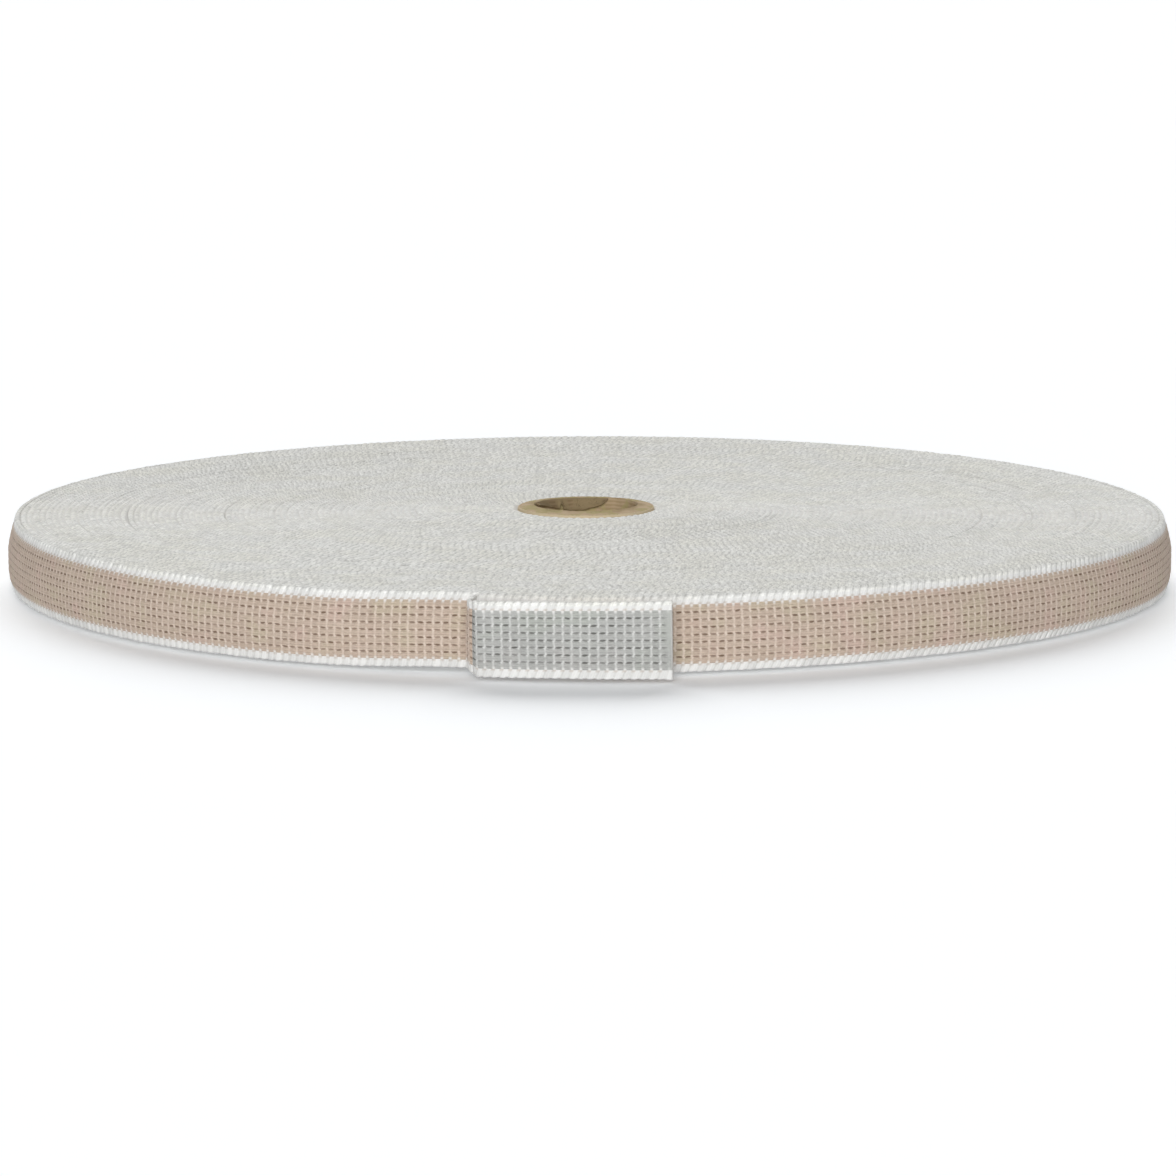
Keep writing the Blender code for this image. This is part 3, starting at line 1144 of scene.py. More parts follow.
class ShaderGroups:
    """Effects that several finishes share, each built once."""

    def __init__(self) -> None:
        """Builds the groups."""
        self.weave = self.build_weave()
        self.loops = self.build_loops()
        self.drift = self.build_drift()

    def start(self, name: str, place: str, *numbers: str) -> tuple[Sketch, Any]:
        """Starts a shader group.

        Args:
            name: its name.
            place: name of its vector input.
            *numbers: names of its other inputs.

        Returns:
            Its sketch and its inputs' sockets.
        """
        tree = bpy.data.node_groups.new(name, "ShaderNodeTree")
        add_sockets(tree, {"Vector": (place,), "Float": numbers})
        sketch = Sketch(tree)
        return sketch, sketch.node("NodeGroupInput").outputs

    def finish(self, sketch: Sketch, results: dict[str, Value]) -> bpy.types.NodeTree:
        """Gives a group its outputs.

        Args:
            sketch: the group's sketch.
            results: what it puts out, by name.

        Returns:
            The group.
        """
        add_sockets(sketch.tree, {"Float": tuple(results)}, "OUTPUT")
        sketch.node("NodeGroupOutput", results)
        return sketch.tree

    def random(self, sketch: Sketch, x: Value | float, y: Value | float, z: float) -> Value:
        """A random number from 0 to 1 for each cell of a weave."""
        made = sketch.node("ShaderNodeTexWhiteNoise", {"Vector": sketch.combine(x, y, z)})
        return sketch.value(made.outputs["Value"])

    def build_weave(self) -> bpy.types.NodeTree:
        """Ribs, weft threads and holes of the coloured faces; the holes carry painted shade.

        Returns:
            The group.
        """
        sketch, given = self.start("ribbed_weave", "Weave", "Ribs", "Yarns per Rib")
        pick, rib, sealed = sketch.parts(given["Weave"])
        ribs = sketch.value(given["Ribs"])
        melt = sealed.clamp(0.0, 1.0)
        wavered = sketch.noise(sketch.combine(pick * 1.7, rib * 1.3, 3.0), 1.0, 1.0) - 0.5
        rib = rib + wavered * 0.14
        number, groove = (pick + 0.5).floor(), (rib + 0.5).floor()
        pick_cell, rib_cell = pick.floor(), rib.floor()

        from_weft = (pick + (rib.fract() - 0.5) * 0.10 + wavered * 0.10).near_whole()
        on_rib = rib.near_whole().ease(0.16, 0.34)
        parity = ((number + rib_cell) * 0.5).fract() * 2.0
        crossing = 0.02 + parity * 0.32 + self.random(sketch, number, rib_cell, 5.0) * 0.32
        gap = 0.60 + self.random(sketch, number, groove, 7.0) * 0.40
        weft = from_weft.ease(0.18, 0.05) * gap.towards(crossing, on_rib)

        tilt = self.random(sketch, pick_cell, groove, 8.0) * 0.26 - 0.04
        leaning = (rib + (pick.fract() - 0.5) * tilt).near_whole()
        from_middle = 0.5 - from_weft
        lens = (leaning + from_middle * from_middle * 0.8).ease(0.20, 0.07)
        inside = rib.ease(0.45, 0.75) * (ribs - rib).ease(0.45, 0.75)
        # How dark each hole's painted shade is, at random.
        depth = 0.45 + self.random(sketch, pick_cell, groove, 9.0) * 0.55
        hole = lens * from_weft.ease(0.12, 0.20) * inside * depth
        border = rib.ease(0.55, 0.05) + (ribs - rib).ease(0.55, 0.05)

        yarn = (rib * sketch.value(given["Yarns per Rib"]) * FULL_TURN).wave()
        yarn = yarn.towards(0.5, (wavered + 0.5).ease(0.4, 0.7) * 0.5)
        keep = 1.0 - melt * 0.75
        results = {
            "Weft": weft * keep,
            "Hole": hole * keep,
            "Yarn": yarn * keep,
            "Streak": sketch.noise(sketch.combine(pick * 1.6, rib * 6.0, 1.0), 1.0, 2.0),
            "Cell": self.random(sketch, pick_cell, rib_cell, 1.0),
            "Melt": melt,
            "Cut": (sealed - 1.0).clamp(0.0, 1.0),
            "Border": border * from_weft.ease(0.26, 0.06),
        }
        return self.finish(sketch, results)

    def build_loops(self) -> bpy.types.NodeTree:
        """The slanted weft loops of a selvedge: painted shade in the valleys between them, the threads on
        each, and spots of painted sparkle.

        Returns:
            The group.
        """
        sketch, given = self.start("selvedge_loops", "Weave", "Ribs", "Threads per Loop")
        pick, rib, sealed = sketch.parts(given["Weave"])
        melt = sealed.clamp(0.0, 1.0)
        keep = 1.0 - melt
        above_face = rib * -1.0
        from_face = sketch.math("MAXIMUM", above_face, rib - sketch.value(given["Ribs"]))
        from_valley = pick.near_whole()
        thread = (pick * sketch.value(given["Threads per Loop"]) * FULL_TURN).wave()
        results = {
            "Valley": from_valley.ease(0.26, 0.0) * keep,
            "Notch": from_valley.ease(0.36, 0.12) * from_face.ease(0.42, 0.10) * keep,
            "Thread": thread * keep,
            # Spots of painted sparkle, for the crowns.
            "Sparkle": sketch.noise(sketch.combine(pick * 2.6, rib * 2.4, 6.0), 1.0, 1.0).ease(0.40, 0.62),
            "Crest": above_face.ease(0.50, 0.85),
            "Loop": self.random(sketch, pick.floor(), 0.0, 4.0),
            "Melt": melt,
        }
        return self.finish(sketch, results)

    def build_drift(self) -> bpy.types.NodeTree:
        """Slow changes of tone over a piece and fine fibre noise.

        Returns:
            The group.
        """
        sketch, given = self.start("tone_drift", "Place", "Patch Size", "Fibre Size")
        results = {}
        for name, size, detail, shift in (
            ("Tone", "Patch Size", 2.0, 1.48),
            ("Hue", "Patch Size", 1.0, 1.11),
            ("Fibre", "Fibre Size", 3.0, 1.85),
        ):
            shifted = sketch.vector("ADD", given["Place"], (shift, 1.3, 0.7))
            scale = sketch.math("DIVIDE", 1.0, sketch.value(given[size]))
            results[name] = sketch.noise(shifted, scale, detail)
        return self.finish(sketch, results)


def plain_material(name: str, settings: dict[str, Any]) -> tuple[Material, bpy.types.Node]:
    """A new material without gloss.

    Args:
        name: its name.
        settings: values of its Principled shader's inputs.

    Returns:
        The material and the shader.
    """
    material = bpy.data.materials.new(name)
    material.use_nodes = True
    shader = material.node_tree.nodes["Principled BSDF"]
    for label, value in {"Specular IOR Level": 0.0, **settings}.items():
        shader.inputs[label].default_value = value
    return material, shader


class Coat:
    """A finish in the making, with short ways to what every finish needs."""

    def __init__(self, groups: ShaderGroups, name: str, roughness: float, sheen: float) -> None:
        """Starts the material.

        Args:
            groups: the shared groups.
            name: the material's name.
            roughness: the shader's roughness.
            sheen: how much of a cloth's sheen it has.
        """
        self.groups = groups
        settings = {"Roughness": roughness, "Sheen Weight": sheen, "Sheen Roughness": 0.5}
        self.material, self.shader = plain_material(name, settings)
        self.sketch = Sketch(self.material.node_tree)
        self.place = self.sketch.node("ShaderNodeTexCoord").outputs["Object"]

    def group(self, tree: bpy.types.NodeTree, inputs: dict[str, Any]) -> dict[str, Value]:
        """Places a shared group and gives what it puts out, by name."""
        made = self.sketch.node("ShaderNodeGroup", inputs, node_tree=tree)
        return {socket.name: self.sketch.value(socket) for socket in made.outputs}

    def woven(self, tree: bpy.types.NodeTree, inputs: dict[str, float]) -> dict[str, Value]:
        """Places a group that needs the piece's own place in the weave."""
        weave = self.sketch.node("ShaderNodeAttribute", attribute_name="weave").outputs["Vector"]
        return self.group(tree, {"Weave": weave, **inputs})

    def drift(self, patch: float, fibre: float) -> list[Value]:
        """Tone and hue that drift over patches of this size, and fibres of this size."""
        made = self.group(self.groups.drift, {"Place": self.place, "Patch Size": patch, "Fibre Size": fibre})
        return [made[name] for name in ("Tone", "Hue", "Fibre")]

    def mix(self, share: Any, first: Any, second: Any, blend: str = "MIX") -> Socket:
        """Mixes two colours.

        Args:
            share: share of the second one.
            first: a colour or a socket.
            second: a colour or a socket.
            blend: the Mix node's way of blending.

        Returns:
            The mixed colour.
        """
        made = self.sketch.node("ShaderNodeMix", {"Factor": share}, data_type="RGBA", blend_type=blend)
        for value, socket in ((first, made.inputs[6]), (second, made.inputs[7])):
            self.sketch.put((*value, 1.0) if isinstance(value, tuple) else value, socket)
        return made.outputs[2]

    def layered(self, base: Any, *layers: tuple[Any, Any]) -> Socket:
        """Lays colours over a base.

        Args:
            base: the lowest colour.
            *layers: the share and the colour of each layer, from the lowest up.

        Returns:
            The colour.
        """
        for share, colour in layers:
            base = self.mix(share, base, colour)
        return base

    def shaded(self, colour: Socket, shade: Value) -> Socket:
        """A colour times a shade of grey."""
        return self.mix(1.0, colour, self.sketch.combine(shade, shade, shade), "MULTIPLY")

    def finish(self, colour: Socket, height: Value, relief: float, strength: float) -> Material:
        """Ends the material.

        Args:
            colour: its colour.
            height: height of its relief, from 0 to about 1.
            relief: depth of the relief in metres.
            strength: how strongly the relief is felt.

        Returns:
            The material.
        """
        inputs = {"Height": height, "Distance": relief, "Strength": strength}
        bump = self.sketch.node("ShaderNodeBump", inputs)
        self.sketch.put(colour, self.shader.inputs["Base Color"])
        self.sketch.put(bump.outputs["Normal"], self.shader.inputs["Normal"])
        return self.material


@dataclass(frozen=True)
class WovenFinish:
    """A coloured face of the webbing."""

    name: str
    yarn: Colour
    yarn_other: Colour
    # Dark colour of the holes between ribs: painted shade in the gaps.
    hole: Colour
    weft: Colour
    melted: Colour
    cut: Colour
    blush: Colour
    olive: Colour
    border: Colour = (0.74, 0.73, 0.71)
    roughness: float = 0.75
    sheen: float = 0.05
    yarns_per_rib: float = 3.0
    patch: float = 0.009
    fibre: float = 0.00035
    relief: float = 0.00008

    def build(self, groups: ShaderGroups, band: Webbing) -> Material:
        """Builds the material.

        Args:
            groups: the shared groups.
            band: the webbing, for its count of ribs.

        Returns:
            The material.
        """
        coat = Coat(groups, self.name, self.roughness, self.sheen)
        weave = coat.woven(groups.weave, {"Ribs": float(band.ribs), "Yarns per Rib": self.yarns_per_rib})
        tone, hue, fibre = coat.drift(self.patch, self.fibre)
        streak = weave["Streak"] - 0.5
        colour = coat.layered(
            self.yarn,
            (weave["Cell"] * 0.8, self.yarn_other),
            (hue.ease(0.54, 0.72) * 0.7, self.olive),
            (hue.ease(0.46, 0.28) * 0.7, self.blush),
        )
        shade = (0.90 + weave["Yarn"] * 0.14) + streak * 0.60 + (fibre - 0.5) * 0.30 + (tone - 0.5) * 0.14
        colour = coat.layered(
            coat.shaded(colour, shade),
            # Painted shade in the holes between ribs.
            (weave["Hole"], self.hole),
            (weave["Weft"] * 0.95, self.weft),
            (weave["Border"] * 0.8, self.border),
            (weave["Melt"] * tone.ease(0.25, 0.60) * 0.8, self.melted),
            (weave["Cut"], self.cut),
        )
        height = weave["Yarn"] * 0.55 + streak * 0.9 + fibre * 0.35 + weave["Weft"] * 0.2 - weave["Hole"]
        return coat.finish(colour, height, self.relief, 0.9)


@dataclass(frozen=True)
class SelvedgeFinish:
    """The white selvedges: loops of weft yarn."""

    name: str = "white_selvedge"
    yarn: Colour = (0.86, 0.86, 0.835)
    warm: Colour = (0.845, 0.84, 0.79)
    # Greyer colour of the loops below the crowns and of the whole lower selvedges: painted shade.
    painted_side_shade: Colour = (0.75, 0.745, 0.73)
    # Grey of the valleys between loops: painted shade.
    valley_shade: Colour = (0.60, 0.60, 0.575)
    notch: Colour = (0.56, 0.51, 0.465)
    roughness: float = 0.80
    sheen: float = 0.0
    threads_per_loop: float = 3.0
    patch: float = 0.014
    fibre: float = 0.00040
    relief: float = 0.00010

    def build(self, groups: ShaderGroups, band: Webbing) -> Material:
        """Builds the material.

        Args:
            groups: the shared groups.
            band: the webbing, for its count of ribs.

        Returns:
            The material.
        """
        coat = Coat(groups, self.name, self.roughness, self.sheen)
        loops = coat.woven(
            groups.loops, {"Ribs": float(band.ribs), "Threads per Loop": self.threads_per_loop}
        )
        tone, _, fibre = coat.drift(self.patch, self.fibre)
        crest, thread = loops["Crest"], loops["Thread"]
        colour = coat.mix(tone.ease(0.35, 0.70), self.yarn, self.warm)
        colour = coat.layered(
            # Painted shade: away from the crowns the loops take the greyer colour.
            coat.mix(crest, self.painted_side_shade, colour),
            # Painted shade in the valleys between loops.
            (loops["Valley"] * (0.45 + crest * 0.30), self.valley_shade),
            (loops["Notch"] * 0.8, self.notch),
        )
        # The crowns are painted darker, with spots of painted sparkle on them; each loop's tone differs at
        # random.
        shade = 0.96 - crest * (0.13 - loops["Sparkle"] * 0.18) + thread * 0.04
        shade = shade + (loops["Loop"] - 0.5) * 0.13 + (fibre - 0.5) * 0.10
        height = thread * 0.5 + fibre * 0.4 + loops["Melt"] * 0.3
        return coat.finish(coat.shaded(colour, shade), height, self.relief, 0.8)


@dataclass(frozen=True)
class DeepFinish:
    """What shows deep between two turns: the sides of the band, painted greyer than the white selvedge as
    the shade that falls there.
    """

    name: str = "between_turns"
    light: Colour = (0.74, 0.73, 0.70)
    dark: Colour = (0.66, 0.65, 0.62)
    roughness: float = 0.85
    sheen: float = 0.1
    patch: float = 0.006
    fibre: float = 0.0005
    relief: float = 0.0001

    def build(self, groups: ShaderGroups) -> Material:
        """Builds the material.

        Args:
            groups: the shared groups.

        Returns:
            The material.
        """
        coat = Coat(groups, self.name, self.roughness, self.sheen)
        fibre = coat.drift(self.patch, self.fibre)[2]
        return coat.finish(coat.mix(fibre, self.light, self.dark), fibre, self.relief, 0.6)


@dataclass(frozen=True)
class CardboardFinish:
    """Brown board of the core: fibres along the plies and a few darker flecks."""

    name: str
    centre: Vector
    light: Colour
    dark: Colour
    fleck: Colour
    olive: Colour
    worn_from: float
    worn: Colour = (0.66, 0.55, 0.38)
    worn_over: float = 0.0003
    ply_pitch: float = 0.0011
    roughness: float = 0.88
    sheen: float = 0.05
    patch: float = 0.004
    fibre: float = 0.0003
    relief: float = 0.00012

    def build(self, groups: ShaderGroups) -> Material:
        """Builds the material.

        Args:
            groups: the shared groups.

        Returns:
            The material.
        """
        coat = Coat(groups, self.name, self.roughness, self.sheen)
        tone, hue, fibre = coat.drift(self.patch, self.fibre)
        x, y, height = coat.sketch.parts(coat.sketch.vector("SUBTRACT", coat.place, self.centre))
        radius = coat.sketch.math("SQRT", x * x + y * y)
        worn = (radius + (fibre - 0.5) * 0.0012).ease(self.worn_from, self.worn_from + self.worn_over)
        ply = (height * (FULL_TURN / self.ply_pitch) + tone * 5.0).wave()
        colour = coat.layered(
            self.light,
            ((tone * 0.7 + ply * 0.3).ease(0.2, 0.8), self.dark),
            (hue.ease(0.47, 0.56) * 0.8, self.olive),
            ((fibre * hue).ease(0.34, 0.46) * 0.5, self.fleck),
            (worn * 0.8, self.worn),
        )
        return coat.finish(colour, fibre * 0.6 + ply * 0.4, self.relief, 0.8)


@dataclass
class WoundTurns:
    """All the wound turns: a body in the depth between them, their edges, and the outermost turn."""

    winding: Winding
    sweep: WovenSweep
    deep: Material
    per_pick: int = 2
    pad: int = 2
    edge_pieces: int = 3
    upper_stations: int = 3
    upper_seed: int = 21
    lower_stations: int = 2
    lower_seed: int = 31
    face_stations: int = 6
    face_seed: int = 41
    edge_relief: Relief = Relief(loops=0.00036, unevenness=0.00021)
    face_relief: Relief = Relief(0.00032, 0.00018, grooves=0.00018, wefts=0.00006, gather=0.5)
    crown_half: float = 0.00088
    crown_top_half: float = 0.00026
    crown_depth: float = 0.00036
    crown_upward: float = 0.8
    body_below_crown: float = 0.00046
    body_behind_face: float = 0.00095
    body_inside_rim: float = 0.006
    body_rows: int = 36
    body_segments: int = 240
    body_waist: tuple[float, float] = (0.006, 0.011)
    body_waist_in: float = 0.0006
    gap_depth: float = 0.0030
    gap_reach: tuple[float, float, float, float] = (-1.2, -0.9, -0.1, 0.2)

    def crown_rows(self, stops: tuple[tuple[float, float], ...]) -> list[Row]:
        """Rows of one edge of an inner turn, of which only the crown shows.

        Args:
            stops: distance from the middle of the thickness, and depth below the crown.

        Returns:
            The rows, from the grey side to the beige one.
        """
        band = self.winding.band
        rows = []
        for depth, below in stops:
            out = Vector((depth / self.crown_half, self.crown_upward)).normalized()
            height, shift = band.width - below, band.slanted(depth)
            rows.append(Row(depth, height, out.x, out.y, 1.0, 1.0, shift, Cloth.SELVEDGE))
        return rows

    def build_edges(self, path: Path, first: int) -> list[bpy.types.Object]:
        """The edges of the inner turns, the upper ones in a few pieces of like size.

        Args:
            path: the wound band.
            first: the pick at which they start.

        Returns:
            The upper pieces and the lower one.
        """
        half, top, deep = self.crown_half, self.crown_top_half, self.crown_depth
        upper = self.crown_rows(((-half, deep), (-top, 0.0), (top, 0.0), (half, deep)))
        lower = self.crown_rows(((-half, deep), (0.0, 0.0), (half, deep)))
        lower = [row.mirrored(self.winding.band.width, 0.0) for row in reversed(lower)]
        last = int(path.picks)
        ends = [first + round((last - first) * i / self.edge_pieces) for i in range(self.edge_pieces + 1)]
        stretches = [
            (f"upper_edges_{i + 1}", upper, start, stop, self.upper_stations, self.upper_seed + i)
            for i, (start, stop) in enumerate(zip(ends, ends[1:]))
        ]
        stretches.append(("lower_edges", lower, first, last, self.lower_stations, self.lower_seed))
        pieces = []
        for name, rows, start, stop, stations, seed in stretches:
            sizes = {"Stations per Pick": stations, "First Pick": start, "Picks": stop - start, "Seed": seed}
            pieces.append(self.sweep.sweep(name, path, rows, self.edge_relief, sizes))
        return pieces

    def build_outer_turn(self, path: Path, last: int) -> list[bpy.types.Object]:
        """The outermost turn with its woven beige face.

        Args:
            path: the wound band.
            last: the pick at which it ends.

        Returns:
            Its two pieces.
        """
        section = Section(self.winding.band, per_rib=3, per_selvedge=3, per_edge=3)
        rows = section.outer_turn(self.crown_half, self.crown_top_half, self.crown_depth)
        ends = (-self.pad, round(last / 2), last)
        sizes = {"Stations per Pick": self.face_stations, "Seed": self.face_seed}
        pieces = []
        for i, (start, stop) in enumerate(zip(ends, ends[1:])):
            sizes = {**sizes, "First Pick": start, "Picks": stop - start}
            pieces.append(self.sweep.sweep(f"outer_turn_{i + 1}", path, rows, self.face_relief, sizes))
        return pieces

    def body_ring(self, angle: float, radii: np.ndarray) -> np.ndarray:
        """The body's outline at one angle, sunk in where the turns stand apart.

        Args:
            angle: round the axis.
            radii: the turns' radii that it follows.

        Returns:
            Its points: the inner foot, the rim, the upper side inwards and the lower side outwards.
        """
        winding, band = self.winding, self.winding.band
        outer = float(winding.outline_radius(angle)) - self.body_behind_face
        reach = [np.append(radii, outer)]
        sunk = [np.zeros(len(radii) + 1)]
        for gap in winding.gaps:
            radius, width = gap.opening(angle)
            reach.append(radius + np.array(self.gap_reach) * gap.width)
            sunk.append(np.array([0.0, 1.0, 1.0, 0.0]) * self.gap_depth * width / gap.width)
        order = np.argsort(np.concatenate(reach))
        reach = np.concatenate(reach)[order]
        foot = winding.lift(angle, reach) + self.body_below_crown
        head = winding.lift(angle, reach) + band.width + winding.level(reach) - self.body_below_crown
        head = head - np.concatenate(sunk)[order]
        low = winding.place(angle, reach[::-1], foot[::-1], band.curve_in(0.0))
        waist_radius = np.array([outer, outer]) - self.body_waist_in
        waist = winding.place(angle, waist_radius, foot[-1] + np.array(self.body_waist))
        high = winding.place(angle, reach, head, band.curve_in(1.0))
        return np.concatenate([low[:1], waist, high[::-1], low[:0:-1]])

    def build_body(self) -> bpy.types.Object:
        """The closed body that fills the roll up to a little below the turns' edges.

        Returns:
            The body.
        """
        winding = self.winding
        angles = winding.handover + FULL_TURN * np.arange(self.body_segments + 1) / self.body_segments
        bore = winding.core_radius + winding.air_gap
        radii = np.linspace(bore, winding.roll_radius - self.body_inside_rim, self.body_rows)
        bm = bmesh.new()
        skin(bm, [[bm.verts.new(place) for place in self.body_ring(angle, radii)] for angle in angles])
        bmesh.ops.remove_doubles(bm, verts=bm.verts, dist=1e-6)
        step = [edge for edge in bm.edges if edge.is_boundary]
        bmesh.ops.holes_fill(bm, edges=step)
        return mesh_object("wound_body", bm, self.deep)

    def build(self) -> list[bpy.types.Object]:
        """Builds every piece of the wound turns.

        Returns:
            The pieces, the outermost turn first.
        """
        path = self.winding.path(self.per_pick)
        one_turn = self.winding.roll_radius * FULL_TURN / self.winding.band.pick
        outer_last = int(round(one_turn)) + 1
        pieces = self.build_outer_turn(path, outer_last)
        pieces += self.build_edges(path, outer_last - 2)
        pieces.append(self.build_body())
        return pieces


@dataclass
class FoldedTab:
    """The loose end as one closed sheet, woven on both faces."""

    loose: LooseEnd
    sweep: WovenSweep
    relief: Relief = Relief(0.00030, 0.0, grooves=0.00018, wefts=0.00006, gather=0.4)
    per_pick: int = 8
    stations: int = 8
    seed: int = 51
    pad: int = 3
    weld: float = 2e-6

    def build(self) -> tuple[bpy.types.Object, float]:
        """Builds the sheet.

        Returns:
            The sheet and its flat length.
        """
        path, length = self.loose.path(self.per_pick)
        section = Section(self.loose.winding.band, per_rib=5, per_selvedge=5, per_edge=4)
        picks = int(path.picks) + 2 * self.pad
        ends = {"First Pick": -self.pad, "Picks": picks}
        sizes = {"Stations per Pick": self.stations, "Seed": self.seed, **ends}
        halves = [
            self.sweep.sweep(f"loose_end_{name}_side", path, section.side(side), self.relief, sizes)
            for name, side in (("beige", 1), ("grey", -1))
        ]
        return joined("loose_end_cloth", halves, self.weld), length


@dataclass
class CardboardCore:
    """The tube that the band is wound on: wound plies, a worn rim and a torn ply inside.

    A stop of the tear gives an angle in degrees and how far down from the rim the tear reaches there.
    The notch gives the angles between which the tear is shallower, and the share of its depth there.
    """

    winding: Winding
    board: Material
    ply: Material
    bore_radius: float = 0.0147
    proud_at_bore: float = 0.0010
    proud_outside: float = 0.0003
    rim_round: float = 0.0004
    segments: int = 144
    plies: int = 5
    ply_depth: float = 0.00010
    wall_rows: int = 16
    worn_below_rim: float = 0.0012
    roughness: float = 0.00006
    rough_seed: int = 61
    seam_pitch: float = 0.013
    seam_share: float = 0.06
    seam_depth: float = 0.00012
    tear: tuple[tuple[float, float], ...] = (
        (64.0, 0.0004),
        (70.0, 0.0017),
        (80.0, 0.0027),
        (95.0, 0.0035),
        (110.0, 0.0034),
        (128.0, 0.0025),
        (150.0, 0.0013),
        (168.0, 0.0005),
    )
    tear_seed: int = 62
    tear_step: float = 1.5
    tear_rows: int = 5
    ragged: float = 0.00012
    notch: tuple[float, float, float] = (119.0, 124.0, 0.50)
    torn_thickness: float = 0.0003
    torn_clear: float = 0.00012
    torn_lean: float = 0.00110

    def rim(self, radius: float | None = None) -> float:
        """Height of the tube's rim, which slopes down outwards.

        Args:
            radius: distance from the axis, or None for the bore's.

        Returns:
            The height.
        """
        wall = self.winding.core_radius - self.bore_radius
        share = 0.0 if radius is None else (radius - self.bore_radius) / wall
        proud = self.proud_at_bore + (self.proud_outside - self.proud_at_bore) * max(0.0, share)
        return self.winding.edge_lift + self.winding.band.width + proud

    def profile(self) -> list[tuple[float, float]]:
        """The wall's outline, from the outer foot up, over the rim and down the bore.

        Returns:
            Radius and height of each point.
        """
        outer, inner = self.winding.core_radius, self.bore_radius
        foot, rim, soft = self.winding.edge_lift, self.rim(), self.rim_round
        low = self.rim(outer)
        points = [(outer - soft * 0.4, foot), (outer, foot + soft)]
        points += [(outer, low - soft), (outer - soft * 0.3, low - soft * 0.3)]
        for i in range(self.plies * 2 + 1):
            radius = outer - soft + (inner + soft - outer + soft) * i / (self.plies * 2)
            points.append((radius, self.rim(radius) - (self.ply_depth if i % 2 else 0.0)))
        points.append((inner + soft * 0.3, rim - soft * 0.3))
        for i in range(self.wall_rows + 1):
            points.append((inner, rim - soft + (foot + soft - rim + soft) * i / self.wall_rows))
        points.append((inner + soft * 0.4, foot))
        return points

    def build_tube(self) -> bpy.types.Object:
        """The tube itself, with a rough rim and the seam of its plies winding down the bore.

        Returns:
            The tube.
        """
        bm = bmesh.new()
        profile = self.profile()
        rim = self.rim()
        rough = np.random.default_rng(self.rough_seed).normal(0.0, 1.0, (self.segments, len(profile)))
        rings = []
        for i in range(self.segments):
            angle = FULL_TURN * i / self.segments
            ring = []
            for j, (radius, height) in enumerate(profile):
                worn = rough[i, j] * self.roughness * max(0.0, 1 - (rim - height) / self.worn_below_rim)
                seam = ((height / self.seam_pitch + angle / FULL_TURN) % 1) < self.seam_share
                step = self.seam_depth if seam and radius < self.bore_radius + 1e-6 else 0.0
                place = round_axis(self.winding.axis, angle, radius + worn + step, height + worn)
                ring.append(bm.verts.new(place))
            rings.append(ring)
        skin(bm, rings + rings[:1])
        return mesh_object("core_board", bm, self.board)

    def build_torn_ply(self) -> bpy.types.Object:
        """A ply of the bore that has come away at the back, with a ragged lower edge.

        Returns:
            The ply.
        """
        rng = np.random.default_rng(self.tear_seed)
        bm = bmesh.new()
        degrees, depths = zip(*self.tear)
        notch_from, notch_to, notch_share = self.notch
        columns = []
        for at in np.arange(degrees[0], degrees[-1] + 0.1, self.tear_step):
            depth = float(np.interp(at, degrees, depths)) + float(rng.uniform(-1, 1)) * self.ragged
            if notch_from < at < notch_to:
                depth *= notch_share
            share = np.linspace(0.0, 1.0, self.tear_rows + 1)
            radius = self.bore_radius - self.torn_clear - self.torn_lean * share * share
            height = self.rim() - self.torn_thickness - depth * share
            places = round_axis(self.winding.axis, math.radians(at), radius, height)
            columns.append([bm.verts.new(place) for place in places])
        skin(bm, columns, closed=False)
        sheet = mesh_object("core_torn_ply_sheet", bm, self.ply)
        thick = sheet.modifiers.new("thickness", "SOLIDIFY")
        thick.thickness = self.torn_thickness
        thick.offset = 0.0
        made = baked(sheet, "core_torn_ply")
        bpy.data.objects.remove(sheet)
        return made

    def build(self) -> list[bpy.types.Object]:
        """Builds every piece of the core."""
        return [self.build_tube(), self.build_torn_ply()]


@dataclass(frozen=True)
class Softbox:
    """A broad, far light. Its angles are in degrees, the azimuth from behind the camera, to the left."""

    name: str
    azimuth: float
    elevation: float
    breadth: float
    power: float

    def build(self) -> None:
        """Places the light."""
        data = bpy.data.lights.new(self.name, "SUN")
        data.angle = math.radians(self.breadth)
        data.energy = self.power
        azimuth, elevation = math.radians(self.azimuth), math.radians(self.elevation)
        level = math.cos(elevation)
        place = Vector((-math.sin(azimuth) * level, -math.cos(azimuth) * level, math.sin(elevation)))
        light = linked(self.name, data)
        light.location = place
        light.rotation_euler = (-place).to_track_quat("-Z", "Y").to_euler()


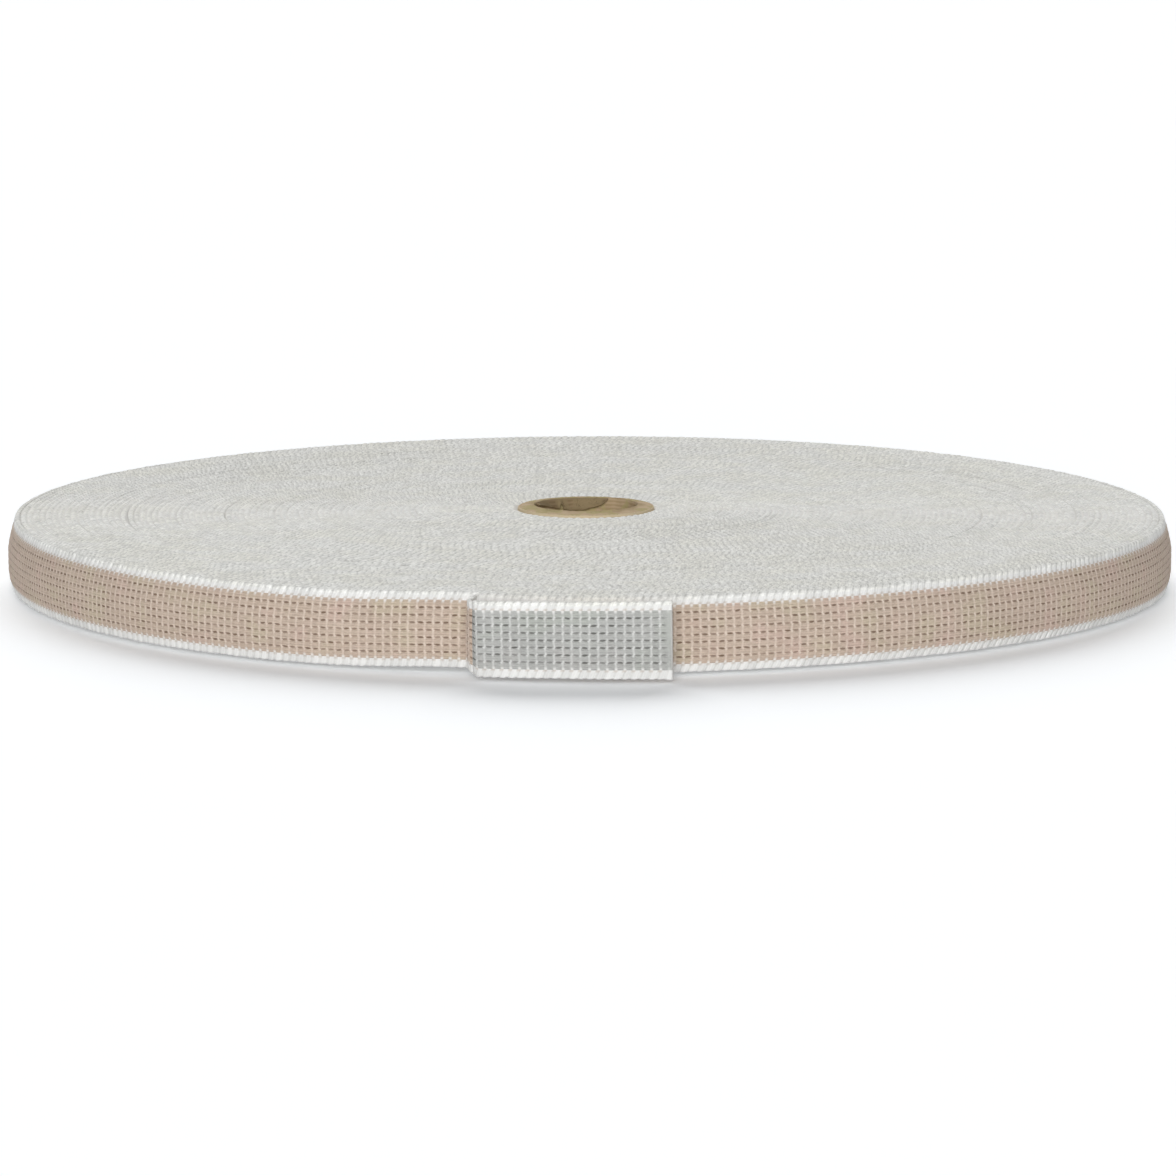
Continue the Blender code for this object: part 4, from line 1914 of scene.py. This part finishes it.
@dataclass
class Studio:
    """Pale floor, soft lights and the camera at the photograph's viewing angle."""

    axis: Vector
    lens: float = 153.09
    sensor: float = 36.0
    eye: tuple[float, float, float] = (0.0, -1.417092, 0.220016)
    right: tuple[float, float, float] = (0.99999798, -0.00067698, -0.00189489)
    up: tuple[float, float, float] = (0.00197701, 0.15522981, 0.98787641)
    ahead: tuple[float, float, float] = (0.00037463, 0.98787815, -0.15523084)
    lights: tuple[Softbox, ...] = (
        Softbox("back_softbox", azimuth=178.0, elevation=33.0, breadth=44.0, power=3.2),
        Softbox("front_softbox", azimuth=4.0, elevation=17.0, breadth=32.0, power=2.45),
    )
    world_strength: float = 0.10
    floor_half: float = 30.0
    floor_below: float = 0.00002
    floor_colour: Colour = (0.945, 0.965, 0.985)
    floor_glow: float = 0.165

    def build_camera(self) -> None:
        """The camera, aimed as worked out from the roll's outline in the photograph."""
        data = bpy.data.cameras.new("camera")
        data.lens = self.lens
        data.sensor_width = self.sensor
        data.clip_start, data.clip_end = 0.05, 100.0
        turn = Matrix((self.right, self.up, [-x for x in self.ahead])).transposed()
        camera = linked("camera", data)
        camera.matrix_world = Matrix.Translation(Vector(self.eye) + self.axis) @ turn.to_4x4()
        bpy.context.scene.camera = camera

    def build_floor(self) -> None:
        """A wide pale floor that glows a little, like a lit table."""
        settings = {
            "Base Color": (*self.floor_colour, 1.0),
            "Roughness": 0.9,
            "Emission Color": (1.0, 1.0, 1.0, 1.0),
            "Emission Strength": self.floor_glow,
        }
        bm = bmesh.new()
        bmesh.ops.create_grid(bm, x_segments=1, y_segments=1, size=self.floor_half)
        mesh = bpy.data.meshes.new("floor")
        bm.to_mesh(mesh)
        bm.free()
        mesh.materials.append(plain_material("pale_floor", settings)[0])
        floor = linked("floor", mesh)
        floor.location.z = -self.floor_below

    def build(self) -> None:
        """Builds the stage."""
        scene = bpy.context.scene
        scene.view_settings.view_transform = "Standard"
        scene.world = bpy.data.worlds.new("studio")
        scene.world.use_nodes = True
        background = scene.world.node_tree.nodes["Background"]
        background.inputs["Color"].default_value = (1.0, 1.0, 1.0, 1.0)
        background.inputs["Strength"].default_value = self.world_strength
        self.build_floor()
        for light in self.lights:
            light.build()
        self.build_camera()


def build_finishes(band: Webbing, axis: Vector) -> dict[str, Material]:
    """Builds every finish.

    Args:
        band: the webbing.
        axis: the foot of the roll's axis.

    Returns:
        The materials, by the names that the pieces use.
    """
    groups = ShaderGroups()
    beige = WovenFinish(
        name="beige_face",
        yarn=(0.52, 0.42, 0.345),
        yarn_other=(0.485, 0.385, 0.31),
        hole=(0.18, 0.125, 0.09),
        weft=(0.67, 0.575, 0.495),
        melted=(0.52, 0.43, 0.36),
        cut=(0.54, 0.45, 0.38),
        blush=(0.545, 0.41, 0.35),
        olive=(0.505, 0.43, 0.325),
    )
    grey = WovenFinish(
        name="grey_reverse",
        yarn=(0.43, 0.43, 0.415),
        yarn_other=(0.38, 0.38, 0.365),
        hole=(0.135, 0.135, 0.125),
        weft=(0.62, 0.62, 0.605),
        melted=(0.42, 0.43, 0.405),
        cut=(0.70, 0.685, 0.655),
        blush=(0.435, 0.425, 0.41),
        olive=(0.405, 0.42, 0.385),
    )
    board = CardboardFinish(
        name="core_board",
        centre=axis,
        light=(0.50, 0.385, 0.255),
        dark=(0.35, 0.26, 0.15),
        fleck=(0.17, 0.12, 0.06),
        olive=(0.40, 0.34, 0.17),
        worn_from=0.0190,
    )
    ply = CardboardFinish(
        name="core_ply",
        centre=axis,
        light=(0.29, 0.215, 0.13),
        dark=(0.20, 0.145, 0.08),
        fleck=(0.09, 0.06, 0.03),
        olive=(0.27, 0.21, 0.12),
        worn_from=1.0,
    )
    return {
        "Selvedge": SelvedgeFinish().build(groups, band),
        "Face": beige.build(groups, band),
        "Reverse": grey.build(groups, band),
        "Deep": DeepFinish().build(groups),
        "Board": board.build(groups),
        "Ply": ply.build(groups),
    }


def main() -> None:
    """Builds the roll's pieces in order and tells the frame what each one is."""
    logging.basicConfig(level=logging.INFO, format="%(message)s")
    low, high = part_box("core_tube")
    axis = Vector(((low.x + high.x) / 2, (low.y + high.y) / 2, 0.0))
    band = Webbing()
    winding = Winding(band, axis)
    Studio(axis).build()
    finishes = build_finishes(band, axis)
    sweep = WovenSweep(band, finishes)

    turns = WoundTurns(winding, sweep, finishes["Deep"]).build()
    for piece in turns:
        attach(piece, "root")
        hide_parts("wound_roll")

    tab, length = FoldedTab(LooseEnd(winding), sweep).build()
    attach(tab, "root")
    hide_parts("loose_end")

    core = CardboardCore(winding, finishes["Board"], finishes["Ply"]).build()
    for piece in core:
        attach(piece, "root")
        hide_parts("core_tube")

    for piece in (*turns, tab, *core):
        LOG.info("%s: %d triangles", piece.name, sum(len(p.vertices) - 2 for p in piece.data.polygons))
    LOG.info("loose end: %.4f m", length)


if __name__ == "__main__":
    main()
